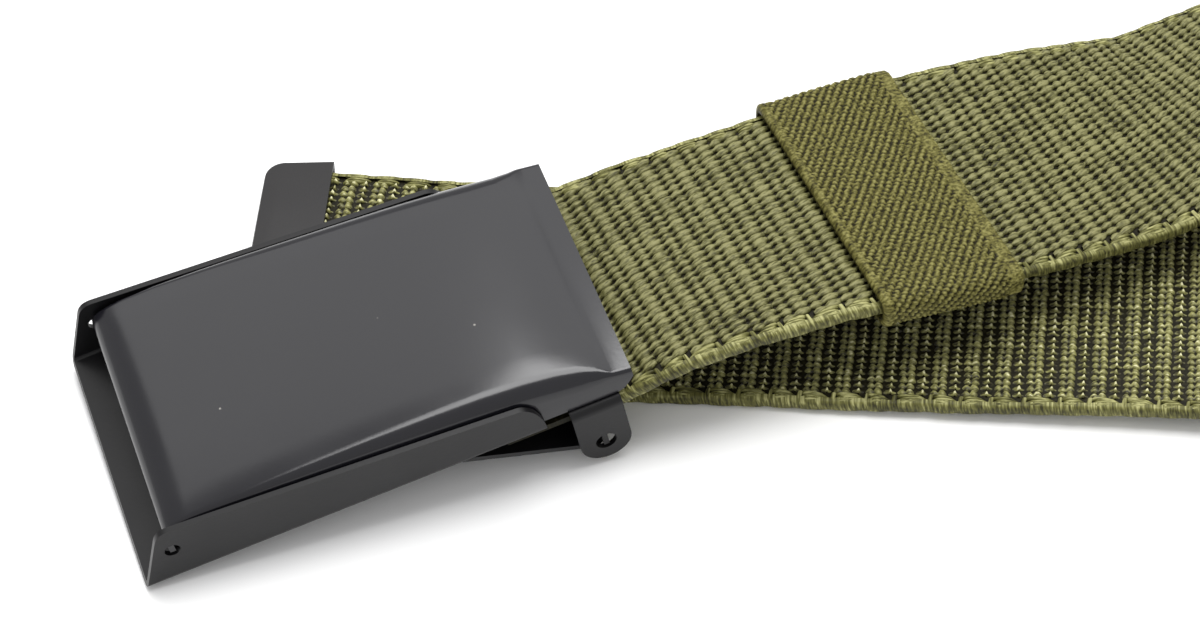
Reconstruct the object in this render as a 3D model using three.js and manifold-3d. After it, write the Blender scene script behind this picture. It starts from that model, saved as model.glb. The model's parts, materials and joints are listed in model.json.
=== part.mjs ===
// Tactical belt: woven webbing with a flip-top friction buckle, an elastic keeper and a metal tip.
// Millimetres, +Z up. The belt lies as it was put down: the buckle stands on its left end and its
// ears, one strip leaves it and arches over the other, and the far loop stands on its edge.

import * as THREE from 'three';
import Module from 'manifold-3d';
import { mergeVertices } from 'three/addons/utils/BufferGeometryUtils.js';

const wasm = await Module();
wasm.setup();

// Driving dimensions
const touch_gap = 0.3;            // between pieces that lie against each other

const webbing_width = 38;
const webbing_thickness = 2.4;
const webbing_edge = 0.55;        // rounding of the woven edges
const belt_length = 1150;         // webbing, fixed end to tip end

const sheet = 0.8;                // steel sheet of the buckle
const base_width = 41.2;
const floor_length = 68.1;
const wall_length = 57.4;
const wall_height = 11.0;         // at the pivot end, from the underside of the floor
const wall_end_height = 6.7;      // where the end curve starts
const wall_end_curve = 3.1;       // length of the end curve
const wall_lean = 4.3;            // how far the top of the left edge leans in
const wall_corner = 1.8;
const bend_radius = 1.3;          // outside radius of the folds
const pivot_x = 5.4;
const pivot_z = 6.6;
const pivot_hole = 2.2;
const pivot_tongue = 1.4;

const ear_length = 7.3;
const ear_hole_drop = 7.1;        // hole centre below the underside of the floor
const ear_hole = 3.0;
const ear_rim = ear_length / 2;     // radius of the ear about its hole
const relief_depth = 2.3;         // cut in the floor's edge between wall and ear
const pivot_inset = 0.25;         // tongues end this far inside the outer sides

const cover_side_gap = 0.3;
const cover_length = 65.6;
const cover_rise = 10.7;          // highest line of the cover above the underside of the floor
const cover_shoulder = 3.0;       // largest radius between the top and the side
const cover_crown = 0.35;
const cover_floor_gap = 0.3;      // under the side flanges
const slot_height = 2.7;          // under the cam lip, where the free end passes

const lever_side_gap = 0.5;
const lever_tongue = 2.3;
const lever_bend = 1.6;
const lever_depth = 9.3;          // lowest line of the lever below the floor
const lever_reach = 19.1;         // from the ear holes to the free end
const lever_teeth = 12;
const tooth_depth = 0.8;
const fixed_end_inset = 12.8;     // webbing held beyond the ear holes
const webbing_side_shift = 0.45;  // the webbing sits towards the near ear

const keeper_from = 51.3;         // along the webbing from its fixed end
const keeper_length = 20.5;
const keeper_wall = 1.2;
const keeper_skew = 2.4;          // its near side lies this much further along
const keeper_slack = 0.8;         // it hangs looser at the near side

const tip_length = 10.2;
const tip_wall = 0.45;
const tip_side_wall = 0.5;
const tip_flare = 0.7;            // each side, from the closed end to the mouth
const tip_gap = 0.2;
const tip_round = 3.0;

const buckle_place = [-67.25, -26.66];   // near the left end of the floor's middle line
const buckle_yaw = 18.5;
const left_corner_lift = 0.3;
const near_ear_lift = 1.3;

const upper_run = 114.5;          // webbing from the fixed end to where the far loop begins
const lower_run = 124.6;          // webbing from the far loop to the tip end
const lower_place = [75, -1.25];
const upper_twist = 150;          // stretch over which the strip turns onto its edge
const lower_twist = 190;          // stretch over which it lies down again
const far_round = 0.36;           // roundness of the far loop: width against its reach
const far_arm = 0.45;             // pull of its two arms against its reach
const tip_settle = 22;            // stretch over which the strip rises into the tip
const upper_step = 2.5;           // spacing of the webbing's sections
const lower_step = 4.5;
const far_step = 8;
const keeper_round = 0.9;         // inside corner radius of the keeper
const tip_bevel = 0.45;

// Tables
// Upper strip: at = share of upper_run, heading, climb and roll in degrees.
const upper_rows = [
  { at: 0.000, heading: 18.5, climb: 10.4, roll: 2.0 },
  { at: 0.130, heading: 18.5, climb: 10.6, roll: 1.9 },
  { at: 0.170, heading: 18.7, climb: 18.0, roll: 0.3 },
  { at: 0.213, heading: 18.6, climb: 12.0, roll: -1.4 },
  { at: 0.300, heading: 18.6, climb: 5.6, roll: -1.7 },
  { at: 0.388, heading: 18.9, climb: 2.0, roll: -0.5 },
  { at: 0.475, heading: 19.6, climb: -0.7, roll: 1.3 },
  { at: 0.562, heading: 20.6, climb: -3.2, roll: 3.3 },
  { at: 0.650, heading: 22.0, climb: -5.7, roll: 4.6 },
  { at: 0.737, heading: 23.6, climb: -7.8, roll: 4.8 },
  { at: 0.824, heading: 25.4, climb: -8.9, roll: 3.6 },
  { at: 0.912, heading: 27.4, climb: -7.0, roll: -0.5 },
  { at: 1.000, heading: 29.2, climb: -3.0, roll: -7.0 },
];

// Lower strip, travelling back to the tip: at = share of lower_run, heading in degrees and
// edge_up = how far the near side is turned up, in degrees.
const lower_rows = [
  { at: 0.00, heading: 175.4, edge_up: 3.2 },
  { at: 0.35, heading: 175.6, edge_up: 0.6 },
  { at: 0.70, heading: 175.2, edge_up: 0.0 },
  { at: 1.00, heading: 175.1, edge_up: 0.0 },
];

// Cover from its lip to its finger end: at = share of cover_length, top = share of cover_rise,
// shoulder = share of cover_shoulder, crown = share of cover_crown.
const cover_rows = [
  { at: 0.0000, top: 0.745, shoulder: 0.25, crown: 0.0 },
  { at: 0.0030, top: 0.800, shoulder: 0.25, crown: 0.1 },
  { at: 0.0090, top: 0.848, shoulder: 0.26, crown: 0.2 },
  { at: 0.0200, top: 0.893, shoulder: 0.27, crown: 0.4 },
  { at: 0.0400, top: 0.937, shoulder: 0.28, crown: 0.6 },
  { at: 0.0750, top: 0.972, shoulder: 0.30, crown: 0.8 },
  { at: 0.1500, top: 0.993, shoulder: 0.34, crown: 1.0 },
  { at: 0.2500, top: 0.985, shoulder: 0.46, crown: 1.0 },
  { at: 0.3600, top: 0.957, shoulder: 0.60, crown: 1.0 },
  { at: 0.4800, top: 0.921, shoulder: 0.74, crown: 1.0 },
  { at: 0.6000, top: 0.876, shoulder: 0.86, crown: 1.0 },
  { at: 0.7000, top: 0.829, shoulder: 0.95, crown: 1.0 },
  { at: 0.7800, top: 0.772, shoulder: 1.00, crown: 1.0 },
  { at: 0.8450, top: 0.703, shoulder: 1.00, crown: 0.9 },
  { at: 0.8950, top: 0.627, shoulder: 0.88, crown: 0.7 },
  { at: 0.9300, top: 0.562, shoulder: 0.62, crown: 0.4 },
  { at: 0.9480, top: 0.521, shoulder: 0.38, crown: 0.2 },
  { at: 0.9580, top: 0.490, shoulder: 0.27, crown: 0.0 },
  { at: 0.9800, top: 0.458, shoulder: 0.25, crown: 0.0 },
  { at: 1.0000, top: 0.434, shoulder: 0.25, crown: 0.0 },
];

// Lower edge of the cover's flanges: at = share of cover_length, up = share of cover_rise
// above the clearance over the floor.
const flange_rows = [
  { at: 0.000, up: 0.000 },
  { at: 0.962, up: 0.000 },
  { at: 0.974, up: 0.030 },
  { at: 0.987, up: 0.110 },
  { at: 1.000, up: 0.210 },
];

// Small tools
const rad = THREE.MathUtils.degToRad;
const deg = THREE.MathUtils.radToDeg;
const V = (x, y, z) => new THREE.Vector3(x, y, z);

function look(rows, key, at) {
  // smooth reading of a table between its rows
  let i = 0;
  while (i < rows.length - 2 && at > rows[i + 1].at) i++;
  const a = rows[i], b = rows[i + 1];
  const h = b.at - a.at;
  const u = Math.min(1, Math.max(0, (at - a.at) / h));
  const slope = (j) => {
    const lo = rows[Math.max(0, j - 1)], hi = rows[Math.min(rows.length - 1, j + 1)];
    const left = j > 0 ? (rows[j][key] - lo[key]) / (rows[j].at - lo.at) : null;
    const right = j < rows.length - 1 ? (hi[key] - rows[j][key]) / (hi.at - rows[j].at) : null;
    if (left === null) return right;
    if (right === null) return left;
    return left * right <= 0 ? 0 : (2 * left * right) / (left + right);
  };
  const m0 = slope(i) * h, m1 = slope(i + 1) * h;
  const u2 = u * u, u3 = u2 * u;
  return (2 * u3 - 3 * u2 + 1) * a[key] + (u3 - 2 * u2 + u) * m0
    + (-2 * u3 + 3 * u2) * b[key] + (u3 - u2) * m1;
}

function solid(geometry) {
  const g = geometry.clone();
  for (const name of ['normal', 'uv']) if (g.getAttribute(name)) g.deleteAttribute(name);
  const m = mergeVertices(g, 1e-4);
  return new wasm.Manifold(new wasm.Mesh({
    numProp: 3,
    vertProperties: new Float32Array(m.getAttribute('position').array),
    triVerts: new Uint32Array(m.getIndex().array),
  }));
}

function toGeometry(body) {
  const m = body.getMesh();
  const g = new THREE.BufferGeometry();
  g.setAttribute('position', new THREE.BufferAttribute(new Float32Array(m.vertProperties), 3));
  g.setIndex(new THREE.BufferAttribute(new Uint32Array(m.triVerts), 1));
  g.computeVertexNormals();
  return g;
}

function along(shape, axis, from, to, segments = 6) {
  // extrude a drawn outline along X (drawn as y, z) or along Y (drawn as x, z)
  const settings = { depth: to - from, bevelEnabled: false, curveSegments: segments };
  const g = new THREE.ExtrudeGeometry(shape, settings);
  const m = new THREE.Matrix4();
  if (axis === 'x') m.makeBasis(V(0, 1, 0), V(0, 0, 1), V(1, 0, 0)).setPosition(from, 0, 0);
  else if (axis === 'y') m.makeBasis(V(1, 0, 0), V(0, 0, 1), V(0, -1, 0)).setPosition(0, to, 0);
  else m.makeTranslation(0, 0, from);
  g.applyMatrix4(m);
  return solid(g);
}

function outline(points) {
  const s = new THREE.Shape();
  points.forEach(([a, b], i) => (i ? s.lineTo(a, b) : s.moveTo(a, b)));
  s.closePath();
  return s;
}

function block(x0, x1, y0, y1, z0, z1) {
  const g = new THREE.BoxGeometry(x1 - x0, y1 - y0, z1 - z0);
  g.translate((x0 + x1) / 2, (y0 + y1) / 2, (z0 + z1) / 2);
  return solid(g);
}

function crossBar(x, z, radius, half) {
  // a round bar across the buckle, for the pivot and ear holes
  const g = new THREE.CylinderGeometry(radius, radius, 2 * half, 24);
  g.applyMatrix4(new THREE.Matrix4().makeTranslation(x, 0, z));
  return solid(g);
}

function tongue(way, x, z, from, height) {
  // flat tongue of the sheet at one side, reaching out into its round hole
  const ends = [way * from, way * (half_base - pivot_inset)].sort((a, b) => a - b);
  return block(x - sheet / 2, x + sheet / 2, ends[0], ends[1], z - height / 2, z + height / 2);
}

function loft(rings, closedCaps) {
  // rings of equal length, joined one to the next; closedCaps gives the end faces as index triples
  const n = rings[0].length;
  const pos = [];
  for (const ring of rings) for (const p of ring) pos.push(p.x, p.y, p.z);
  const index = [];
  for (let i = 0; i < rings.length - 1; i++) {
    for (let j = 0; j < n; j++) {
      const a = i * n + j, b = i * n + ((j + 1) % n), c = a + n, d = b + n;
      index.push(a, b, d, a, d, c);
    }
  }
  const last = (rings.length - 1) * n;
  for (const [a, b, c] of closedCaps) {
    index.push(a, c, b);
    index.push(last + a, last + b, last + c);
  }
  const g = new THREE.BufferGeometry();
  g.setAttribute('position', new THREE.BufferAttribute(new Float32Array(pos), 3));
  g.setIndex(index);
  g.computeVertexNormals();
  return g;
}

const fan = (n) => Array.from({ length: n - 2 }, (_, i) => [0, i + 1, i + 2]);

const steel = (color, roughness) => new THREE.MeshStandardMaterial({ color, roughness, metalness: 0.6 });
const cloth = (color) => new THREE.MeshStandardMaterial({ color, roughness: 0.95, metalness: 0 });

function piece(name, geometry, material) {
  const mesh = new THREE.Mesh(geometry, material);
  mesh.name = name;
  return mesh;
}

// Where the buckle stands
// Its left near corner and its two ears have known heights; the far ear lies on the lower strip.
const half_base = base_width / 2;
const ear_end = floor_length;
const ear_start = floor_length - ear_length;
const ear_x = floor_length - ear_length / 2;
const ear_bottom = ear_hole_drop + ear_rim;

function buckleFrame() {
  const far_lift = webbing_thickness + touch_gap;
  const rise = near_ear_lift - left_corner_lift;
  const ny = (far_lift - near_ear_lift) / base_width;
  const m = Math.sqrt(1 - ny * ny);
  const reach = Math.hypot(ear_x, ear_bottom);
  const pitch = Math.atan2(ear_bottom, ear_x) + Math.asin(rise / (m * reach));
  const nx = m * Math.sin(pitch);
  const level = Math.sqrt(1 - nx * nx);
  const yaw = rad(buckle_yaw);
  const ex = V(Math.cos(yaw) * level, Math.sin(yaw) * level, nx);
  const side = V(-Math.sin(yaw), Math.cos(yaw), 0);
  const up = new THREE.Vector3().crossVectors(ex, side);
  const roll = Math.asin(ny / level);
  const ey = side.clone().multiplyScalar(Math.cos(roll)).addScaledVector(up, Math.sin(roll));
  const ez = new THREE.Vector3().crossVectors(ex, ey);
  const frame = new THREE.Matrix4().makeBasis(ex, ey, ez);
  const corner = V(0, -half_base, 0).applyMatrix4(frame);
  frame.setPosition(buckle_place[0], buckle_place[1], left_corner_lift - corner.z);
  return frame;
}
const buckle_frame = buckleFrame();

// The way of the webbing
// Each station: place p, travel t, left side l, outer face n, distance s along the webbing.
function station(p, heading, climb, roll, s) {
  const h = rad(heading), c = rad(climb), r = rad(roll);
  const t = V(Math.cos(h) * Math.cos(c), Math.sin(h) * Math.cos(c), Math.sin(c));
  const l0 = V(-Math.sin(h), Math.cos(h), 0);
  const n0 = new THREE.Vector3().crossVectors(t, l0);
  const l = l0.clone().multiplyScalar(Math.cos(r)).addScaledVector(n0, Math.sin(r));
  const n = l0.clone().multiplyScalar(-Math.sin(r)).addScaledVector(n0, Math.cos(r));
  return { p: p.clone(), t, l, n, s };
}

function restHeight(roll) {
  // height of the webbing's middle line where it rests on the table at this roll
  const upright = (webbing_width / 2) * Math.abs(Math.sin(rad(roll)));
  const lying = (webbing_thickness / 2) * Math.abs(Math.cos(rad(roll)));
  return upright + lying;
}

const ease = (u) => { const v = Math.min(1, Math.max(0, u)); return v * v * (3 - 2 * v); };

const fine_steps = 8;

function upperStations(step) {
  const p = V(ear_x - fixed_end_inset, -webbing_side_shift, -touch_gap - webbing_thickness / 2);
  p.applyMatrix4(buckle_frame);
  const out = [];
  const count = Math.round(upper_run / step);
  const upperAt = (at, s) => station(
    p, look(upper_rows, 'heading', at), look(upper_rows, 'climb', at), look(upper_rows, 'roll', at), s);
  for (let i = 0; i <= count; i++) {
    out.push(upperAt(i / count, (upper_run * i) / count));
    for (let k = 0; k < fine_steps && i < count; k++) {
      const t = upperAt((i + (k + 0.5) / fine_steps) / count, 0).t;
      p.addScaledVector(t, upper_run / count / fine_steps);
    }
  }
  return out;
}

// the strip rises by the difference to sit inside the tip
const tip_lift = tip_wall + tip_gap;

function lowerStations(step) {
  const out = [];
  const count = Math.round(lower_run / step);
  const p = V(lower_place[0], lower_place[1], 0);
  for (let i = 0; i <= count; i++) {
    const at = i / count;
    const roll = -180 + look(lower_rows, 'edge_up', at);
    const left = lower_run * (1 - at);
    const q = p.clone();
    q.z = restHeight(roll) + tip_lift * ease(1 - (left - tip_length) / tip_settle);
    out.push(station(q, look(lower_rows, 'heading', at), 0, roll, belt_length - left));
    for (let k = 0; k < fine_steps && i < count; k++) {
      const a = (i + (k + 0.5) / fine_steps) / count;
      const t = station(p, look(lower_rows, 'heading', a), 0, 0, 0).t;
      p.addScaledVector(t, lower_run / count / fine_steps);
    }
  }
  return out;
}

function farLoop(from, to, step) {
  // plain loop from the end of the upper strip to the start of the lower one, as long as the
  // belt needs, standing on the table on its edge between the two twists
  const length = belt_length - upper_run - lower_run;
  const flat = (v) => V(v.x, v.y, 0);
  const p0 = flat(from.p), p3 = flat(to.p);
  const t0 = flat(from.t).normalize(), t3 = flat(to.t).normalize();
  const middle = t0.clone().sub(t3).normalize();
  const turn = V(middle.y, -middle.x, 0);
  const start = p0.clone().add(p3).multiplyScalar(0.5);
  const curve = (reach) => {
    const far = start.clone().addScaledVector(middle, reach);
    const arm = reach * far_arm;
    const round = reach * far_round;
    const c = new THREE.CurvePath();
    c.add(new THREE.CubicBezierCurve3(
      p0, p0.clone().addScaledVector(t0, arm), far.clone().addScaledVector(turn, -round), far));
    c.add(new THREE.CubicBezierCurve3(
      far, far.clone().addScaledVector(turn, round), p3.clone().addScaledVector(t3, -arm), p3));
    for (const part of c.curves) part.arcLengthDivisions = 400;
    return c;
  };
  let lo = 0;
  let hi = length;
  for (let i = 0; i < 50; i++) {
    const mid = (lo + hi) / 2;
    if (curve(mid).getLength() < length) lo = mid;
    else hi = mid;
  }
  const c = curve((lo + hi) / 2);
  const startRoll = upper_rows[upper_rows.length - 1].roll;
  const endRoll = -180 + lower_rows[0].edge_up;
  const extra = from.p.z - restHeight(startRoll);
  const sink = Math.tan(Math.asin(from.t.z));
  const rollAt = (d) => {
    const a = startRoll + (-90 - startRoll) * ease(d / upper_twist);
    const b = (endRoll + 90) * ease(1 - (length - d) / lower_twist);
    return a + b;
  };
  // height above resting falls away smoothly as the strip turns onto its edge
  const zAt = (d) => {
    const u = Math.min(1, d / upper_twist);
    const turning = restHeight(rollAt(0.5)) - restHeight(rollAt(0));
    const slope = (sink - turning / 0.5) * upper_twist;
    const u2 = u * u;
    const u3 = u2 * u;
    return restHeight(rollAt(d)) + Math.max(0, extra * (2 * u3 - 3 * u2 + 1) + slope * (u3 - 2 * u2 + u));
  };
  const count = Math.round(length / step);
  const out = [];
  for (let i = 1; i < count; i++) {
    const d = (i / count) * length;
    const q = c.getPointAt(i / count);
    q.z = zAt(d);
    const t = c.getTangentAt(i / count);
    const climb = deg(Math.atan((zAt(d + 0.5) - zAt(d - 0.5))));
    out.push(station(q, deg(Math.atan2(t.y, t.x)), climb, rollAt(d), upper_run + d));
  }
  return out;
}

const upper = upperStations(upper_step);
const lower = lowerStations(lower_step);
const path = [...upper, ...farLoop(upper[upper.length - 1], lower[0], far_step), ...lower];

function across(st, side, out) {
  // a point beside the middle line: side to the left, out towards the outer face
  return st.p.clone().addScaledVector(st.l, side).addScaledVector(st.n, out);
}

function webbingGeometry() {
  const w = webbing_width / 2;
  const t = webbing_thickness / 2;
  const e = webbing_edge;
  const section = [
    [-w, -t + e], [-w + e, -t], [w - e, -t], [w, -t + e],
    [w, t - e], [w - e, t], [-w + e, t], [-w, t - e],
  ];
  return loft(path.map((st) => section.map(([a, b]) => across(st, a, b))), fan(section.length));
}

// Elastic keeper: a closed loop of elastic hugging the upper strip
function keeperGeometry() {
  const inner_w = webbing_width / 2 + touch_gap;
  const inner_t = webbing_thickness / 2 + touch_gap;
  const ring = (grow) => {
    const w = inner_w + grow;
    const t = inner_t + grow;
    const r = Math.min(t, keeper_round + grow);
    const pts = [];
    const v = w + keeper_slack;
    const corners = [[w - r, t - r, 0], [-v + r, t - r, 90], [-v + r, -t + r, 180], [w - r, -t + r, 270]];
    for (const [cx, cy, a0] of corners) {
      for (let k = 0; k <= 4; k++) {
        const a = rad(a0 + (90 * k) / 4);
        pts.push([cx + r * Math.cos(a), cy + r * Math.sin(a)]);
      }
    }
    return pts;
  };
  const outer = ring(keeper_wall);
  const inner = ring(0);
  const steps = 8;
  const at = (s) => {
    let i = 0;
    while (i < upper.length - 2 && upper[i + 1].s < s) i++;
    const a = upper[i];
    const b = upper[i + 1];
    const u = (s - a.s) / (b.s - a.s);
    return {
      p: a.p.clone().lerp(b.p, u),
      l: a.l.clone().lerp(b.l, u).normalize(),
      n: a.n.clone().lerp(b.n, u).normalize(),
    };
  };
  const n = outer.length;
  const pos = [];
  for (let i = 0; i <= steps; i++) {
    for (const [a, b] of [...outer, ...inner]) {
      const lag = keeper_skew * (0.5 - a / webbing_width);
      const q = across(at(keeper_from + lag + (keeper_length * i) / steps), a, b);
      pos.push(q.x, q.y, q.z);
    }
  }
  const index = [];
  const id = (i, j, inside) => i * 2 * n + (inside ? n : 0) + (j % n);
  const quad = (a, b, c, d) => index.push(a, b, c, a, c, d);
  for (let j = 0; j < n; j++) {
    for (let i = 0; i < steps; i++) {
      quad(id(i, j), id(i, j + 1), id(i + 1, j + 1), id(i + 1, j));
      quad(id(i, j, 1), id(i + 1, j, 1), id(i + 1, j + 1, 1), id(i, j + 1, 1));
    }
    quad(id(0, j), id(0, j, 1), id(0, j + 1, 1), id(0, j + 1));
    quad(id(steps, j), id(steps, j + 1), id(steps, j + 1, 1), id(steps, j, 1));
  }
  const g = new THREE.BufferGeometry();
  g.setAttribute('position', new THREE.BufferAttribute(new Float32Array(pos), 3));
  g.setIndex(index);
  g.computeVertexNormals();
  return g;
}

// Metal tip: a folded cap over the webbing's end, drawn with +X towards its closed end
function tipGeometry() {
  const half_w = webbing_width / 2 + tip_gap + tip_side_wall;
  const half_t = webbing_thickness / 2 + tip_gap + tip_wall;
  const depth = tip_length - tip_wall - touch_gap;         // how far the webbing reaches in
  const nose = tip_length - depth;
  const s = new THREE.Shape();
  s.moveTo(-depth, -half_w - tip_flare);
  s.lineTo(nose - tip_round, -half_w);
  s.absarc(nose - tip_round, -half_w + tip_round, tip_round, -Math.PI / 2, 0, false);
  s.absarc(nose - tip_round, half_w - tip_round, tip_round, 0, Math.PI / 2, false);
  s.lineTo(-depth, half_w + tip_flare);
  s.closePath();
  const bevel = Math.min(tip_bevel, half_t * 0.4);
  const g = new THREE.ExtrudeGeometry(s, {
    depth: 2 * (half_t - bevel), bevelEnabled: true, bevelThickness: bevel, bevelSize: bevel,
    bevelOffset: -bevel, bevelSegments: 3, curveSegments: 8,
  });
  g.translate(0, 0, -(half_t - bevel));
  const inside_w = half_w - tip_side_wall;
  const inside_t = half_t - tip_wall;
  const wide = half_w + tip_flare + 1;
  const thick = half_t + 1;
  const hollow = block(-2 * depth, touch_gap, -inside_w, inside_w, -inside_t, inside_t);
  const mouth = block(-2 * depth, -depth + bevel, -wide, wide, -thick, thick);
  return toGeometry(solid(g).subtract(hollow).subtract(mouth));
}

// Base frame
function baseGeometry() {
  const w = half_base;
  const s = sheet;
  const ro = bend_radius;
  const ri = Math.max(0.1, ro - s);
  const top = wall_height + 1;
  const quarter = Math.PI / 2;
  // trough: floor with the two walls folded up
  const trough = new THREE.Shape();
  trough.moveTo(-w, top);
  trough.lineTo(-w, ro);
  trough.absarc(-w + ro, ro, ro, Math.PI, 3 * quarter, false);
  trough.lineTo(w - ro, 0);
  trough.absarc(w - ro, ro, ro, -quarter, 0, false);
  trough.lineTo(w, top);
  trough.lineTo(w - s, top);
  trough.lineTo(w - s, s + ri);
  trough.absarc(w - s - ri, s + ri, ri, 0, -quarter, true);
  trough.lineTo(-w + s + ri, s);
  trough.absarc(-w + s + ri, s + ri, ri, -quarter, -Math.PI, true);
  trough.lineTo(-w + s, top);
  trough.closePath();
  // side view of the walls: leaning left edge, falling top line, long end curve
  const side = new THREE.Shape();
  side.moveTo(-1, -1);
  side.lineTo(0, 0);
  const lean = V(wall_lean, wall_height, 0).normalize();
  const fall = V(wall_length - wall_end_curve - wall_lean, wall_end_height - wall_height, 0).normalize();
  side.lineTo(wall_lean - lean.x * wall_corner, wall_height - lean.y * wall_corner);
  side.quadraticCurveTo(
    wall_lean, wall_height, wall_lean + fall.x * wall_corner, wall_height + fall.y * wall_corner);
  side.lineTo(wall_length - wall_end_curve, wall_end_height);
  side.bezierCurveTo(
    wall_length - wall_end_curve * 0.35, wall_end_height - wall_end_curve * 0.1,
    wall_length, wall_end_height * 0.5, wall_length, s);
  side.lineTo(wall_length, -1);
  side.closePath();
  let body = along(trough, 'x', -2, wall_length + 2).intersect(along(side, 'y', -w - 2, w + 2, 10));
  // floor beyond the walls, cut back between wall and ear
  body = body.add(block(wall_length - ro - 1, floor_length, -w + relief_depth, w - relief_depth, 0, s));
  // ears folded down at the far end
  const hood = new THREE.Shape();
  const low = -ear_bottom - 1;
  hood.moveTo(-w, low);
  hood.lineTo(-w + s, low);
  hood.lineTo(-w + s, -ri);
  hood.absarc(-w + s + ri, -ri, ri, Math.PI, quarter, true);
  hood.lineTo(w - s - ri, 0);
  hood.absarc(w - s - ri, -ri, ri, quarter, 0, true);
  hood.lineTo(w - s, low);
  hood.lineTo(w, low);
  hood.lineTo(w, s - ro);
  hood.absarc(w - ro, s - ro, ro, 0, quarter, false);
  hood.lineTo(-w + ro, s);
  hood.absarc(-w + ro, s - ro, ro, quarter, Math.PI, false);
  hood.closePath();
  const ear = new THREE.Shape();
  ear.moveTo(ear_start, 2);
  ear.lineTo(ear_start, -ear_hole_drop);
  ear.absarc(ear_x, -ear_hole_drop, ear_rim, Math.PI, 2 * Math.PI, false);
  ear.lineTo(ear_end, 2);
  ear.closePath();
  body = body.add(along(hood, 'x', ear_start, ear_end).intersect(along(ear, 'y', -w - 2, w + 2, 10)));
  // pivot and lever holes
  body = body.subtract(crossBar(pivot_x, pivot_z, pivot_hole / 2, w + 3));
  body = body.subtract(crossBar(ear_x, -ear_hole_drop, ear_hole / 2, w + 3));
  return toGeometry(body);
}

// Cover plate
function coverGeometry() {
  const half = half_base - sheet - cover_side_gap;
  const left = pivot_x - sheet / 2;
  const foot = sheet + cover_floor_gap;
  const arc = 5, flatSteps = 10;
  function skin(row, inset) {
    // half outline points from the near flange's foot over the top to the far flange's foot
    const w = half - inset;
    const top = row.top - inset;
    const r = Math.max(0.12, Math.min(row.shoulder - inset, top - row.foot - 0.3));
    const pts = [];
    pts.push([-w, row.foot], [-w, row.foot + (top - r - row.foot) * 0.5]);
    for (let k = 0; k <= arc; k++) {
      const a = Math.PI - (Math.PI / 2) * (k / arc);
      pts.push([-w + r + r * Math.cos(a), top - r + r * Math.sin(a)]);
    }
    for (let k = 1; k < flatSteps; k++) {
      const y = (-w + r) + (2 * (w - r) * k) / flatSteps;
      const u = y / (w - r);
      pts.push([y, top + row.crown * (1 - u * u)]);
    }
    for (let k = 0; k <= arc; k++) {
      const a = Math.PI / 2 - (Math.PI / 2) * (k / arc);
      pts.push([w - r + r * Math.cos(a), top - r + r * Math.sin(a)]);
    }
    pts.push([w, row.foot + (top - r - row.foot) * 0.5], [w, row.foot]);
    return pts;
  }
  const between = [0.0015, 0.3, 0.42, 0.54, 0.65];
  const named = [...cover_rows, ...flange_rows].map((r) => r.at);
  const ats = [...new Set([...named, ...between])].sort((a, b) => a - b);
  const rings = ats.map((at) => {
    const row = {
      top: cover_rise * look(cover_rows, 'top', at),
      shoulder: cover_shoulder * look(cover_rows, 'shoulder', at),
      crown: cover_crown * look(cover_rows, 'crown', at),
      foot: foot + cover_rise * look(flange_rows, 'up', at),
    };
    const x = left + cover_length * at;
    const outer = skin(row, 0).map(([y, z]) => V(x, y, z));
    const inner = skin(row, sheet).map(([y, z]) => V(x, y, z));
    return [...outer.reverse(), ...inner];
  });
  const n = rings[0].length;
  const m = n / 2;
  const caps = [];
  for (let j = 0; j < m - 1; j++) {
    const a = j, b = j + 1, c = n - 2 - j, d = n - 1 - j;
    caps.push([a, b, c], [a, c, d]);
  }
  let body = solid(loft(rings, caps));
  // cam lip, turned down at the pivot end, with a tongue at each end as its pivot
  const lip_top = cover_rise * cover_rows[0].top - 0.05;
  const lip_foot = sheet + slot_height;
  const inner_half = half - sheet * 0.5;
  body = body.add(block(left, left + sheet, -inner_half, inner_half, lip_foot + sheet * 0.5, lip_top));
  const nose = new THREE.CylinderGeometry(sheet * 0.5, sheet * 0.5, 2 * inner_half, 16);
  nose.translate(left + sheet * 0.5, 0, lip_foot + sheet * 0.5);
  body = body.add(solid(nose));
  body = body.add(tongue(1, pivot_x, pivot_z, half - sheet, pivot_tongue));
  body = body.add(tongue(-1, pivot_x, pivot_z, half - sheet, pivot_tongue));
  return toGeometry(body);
}

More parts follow.
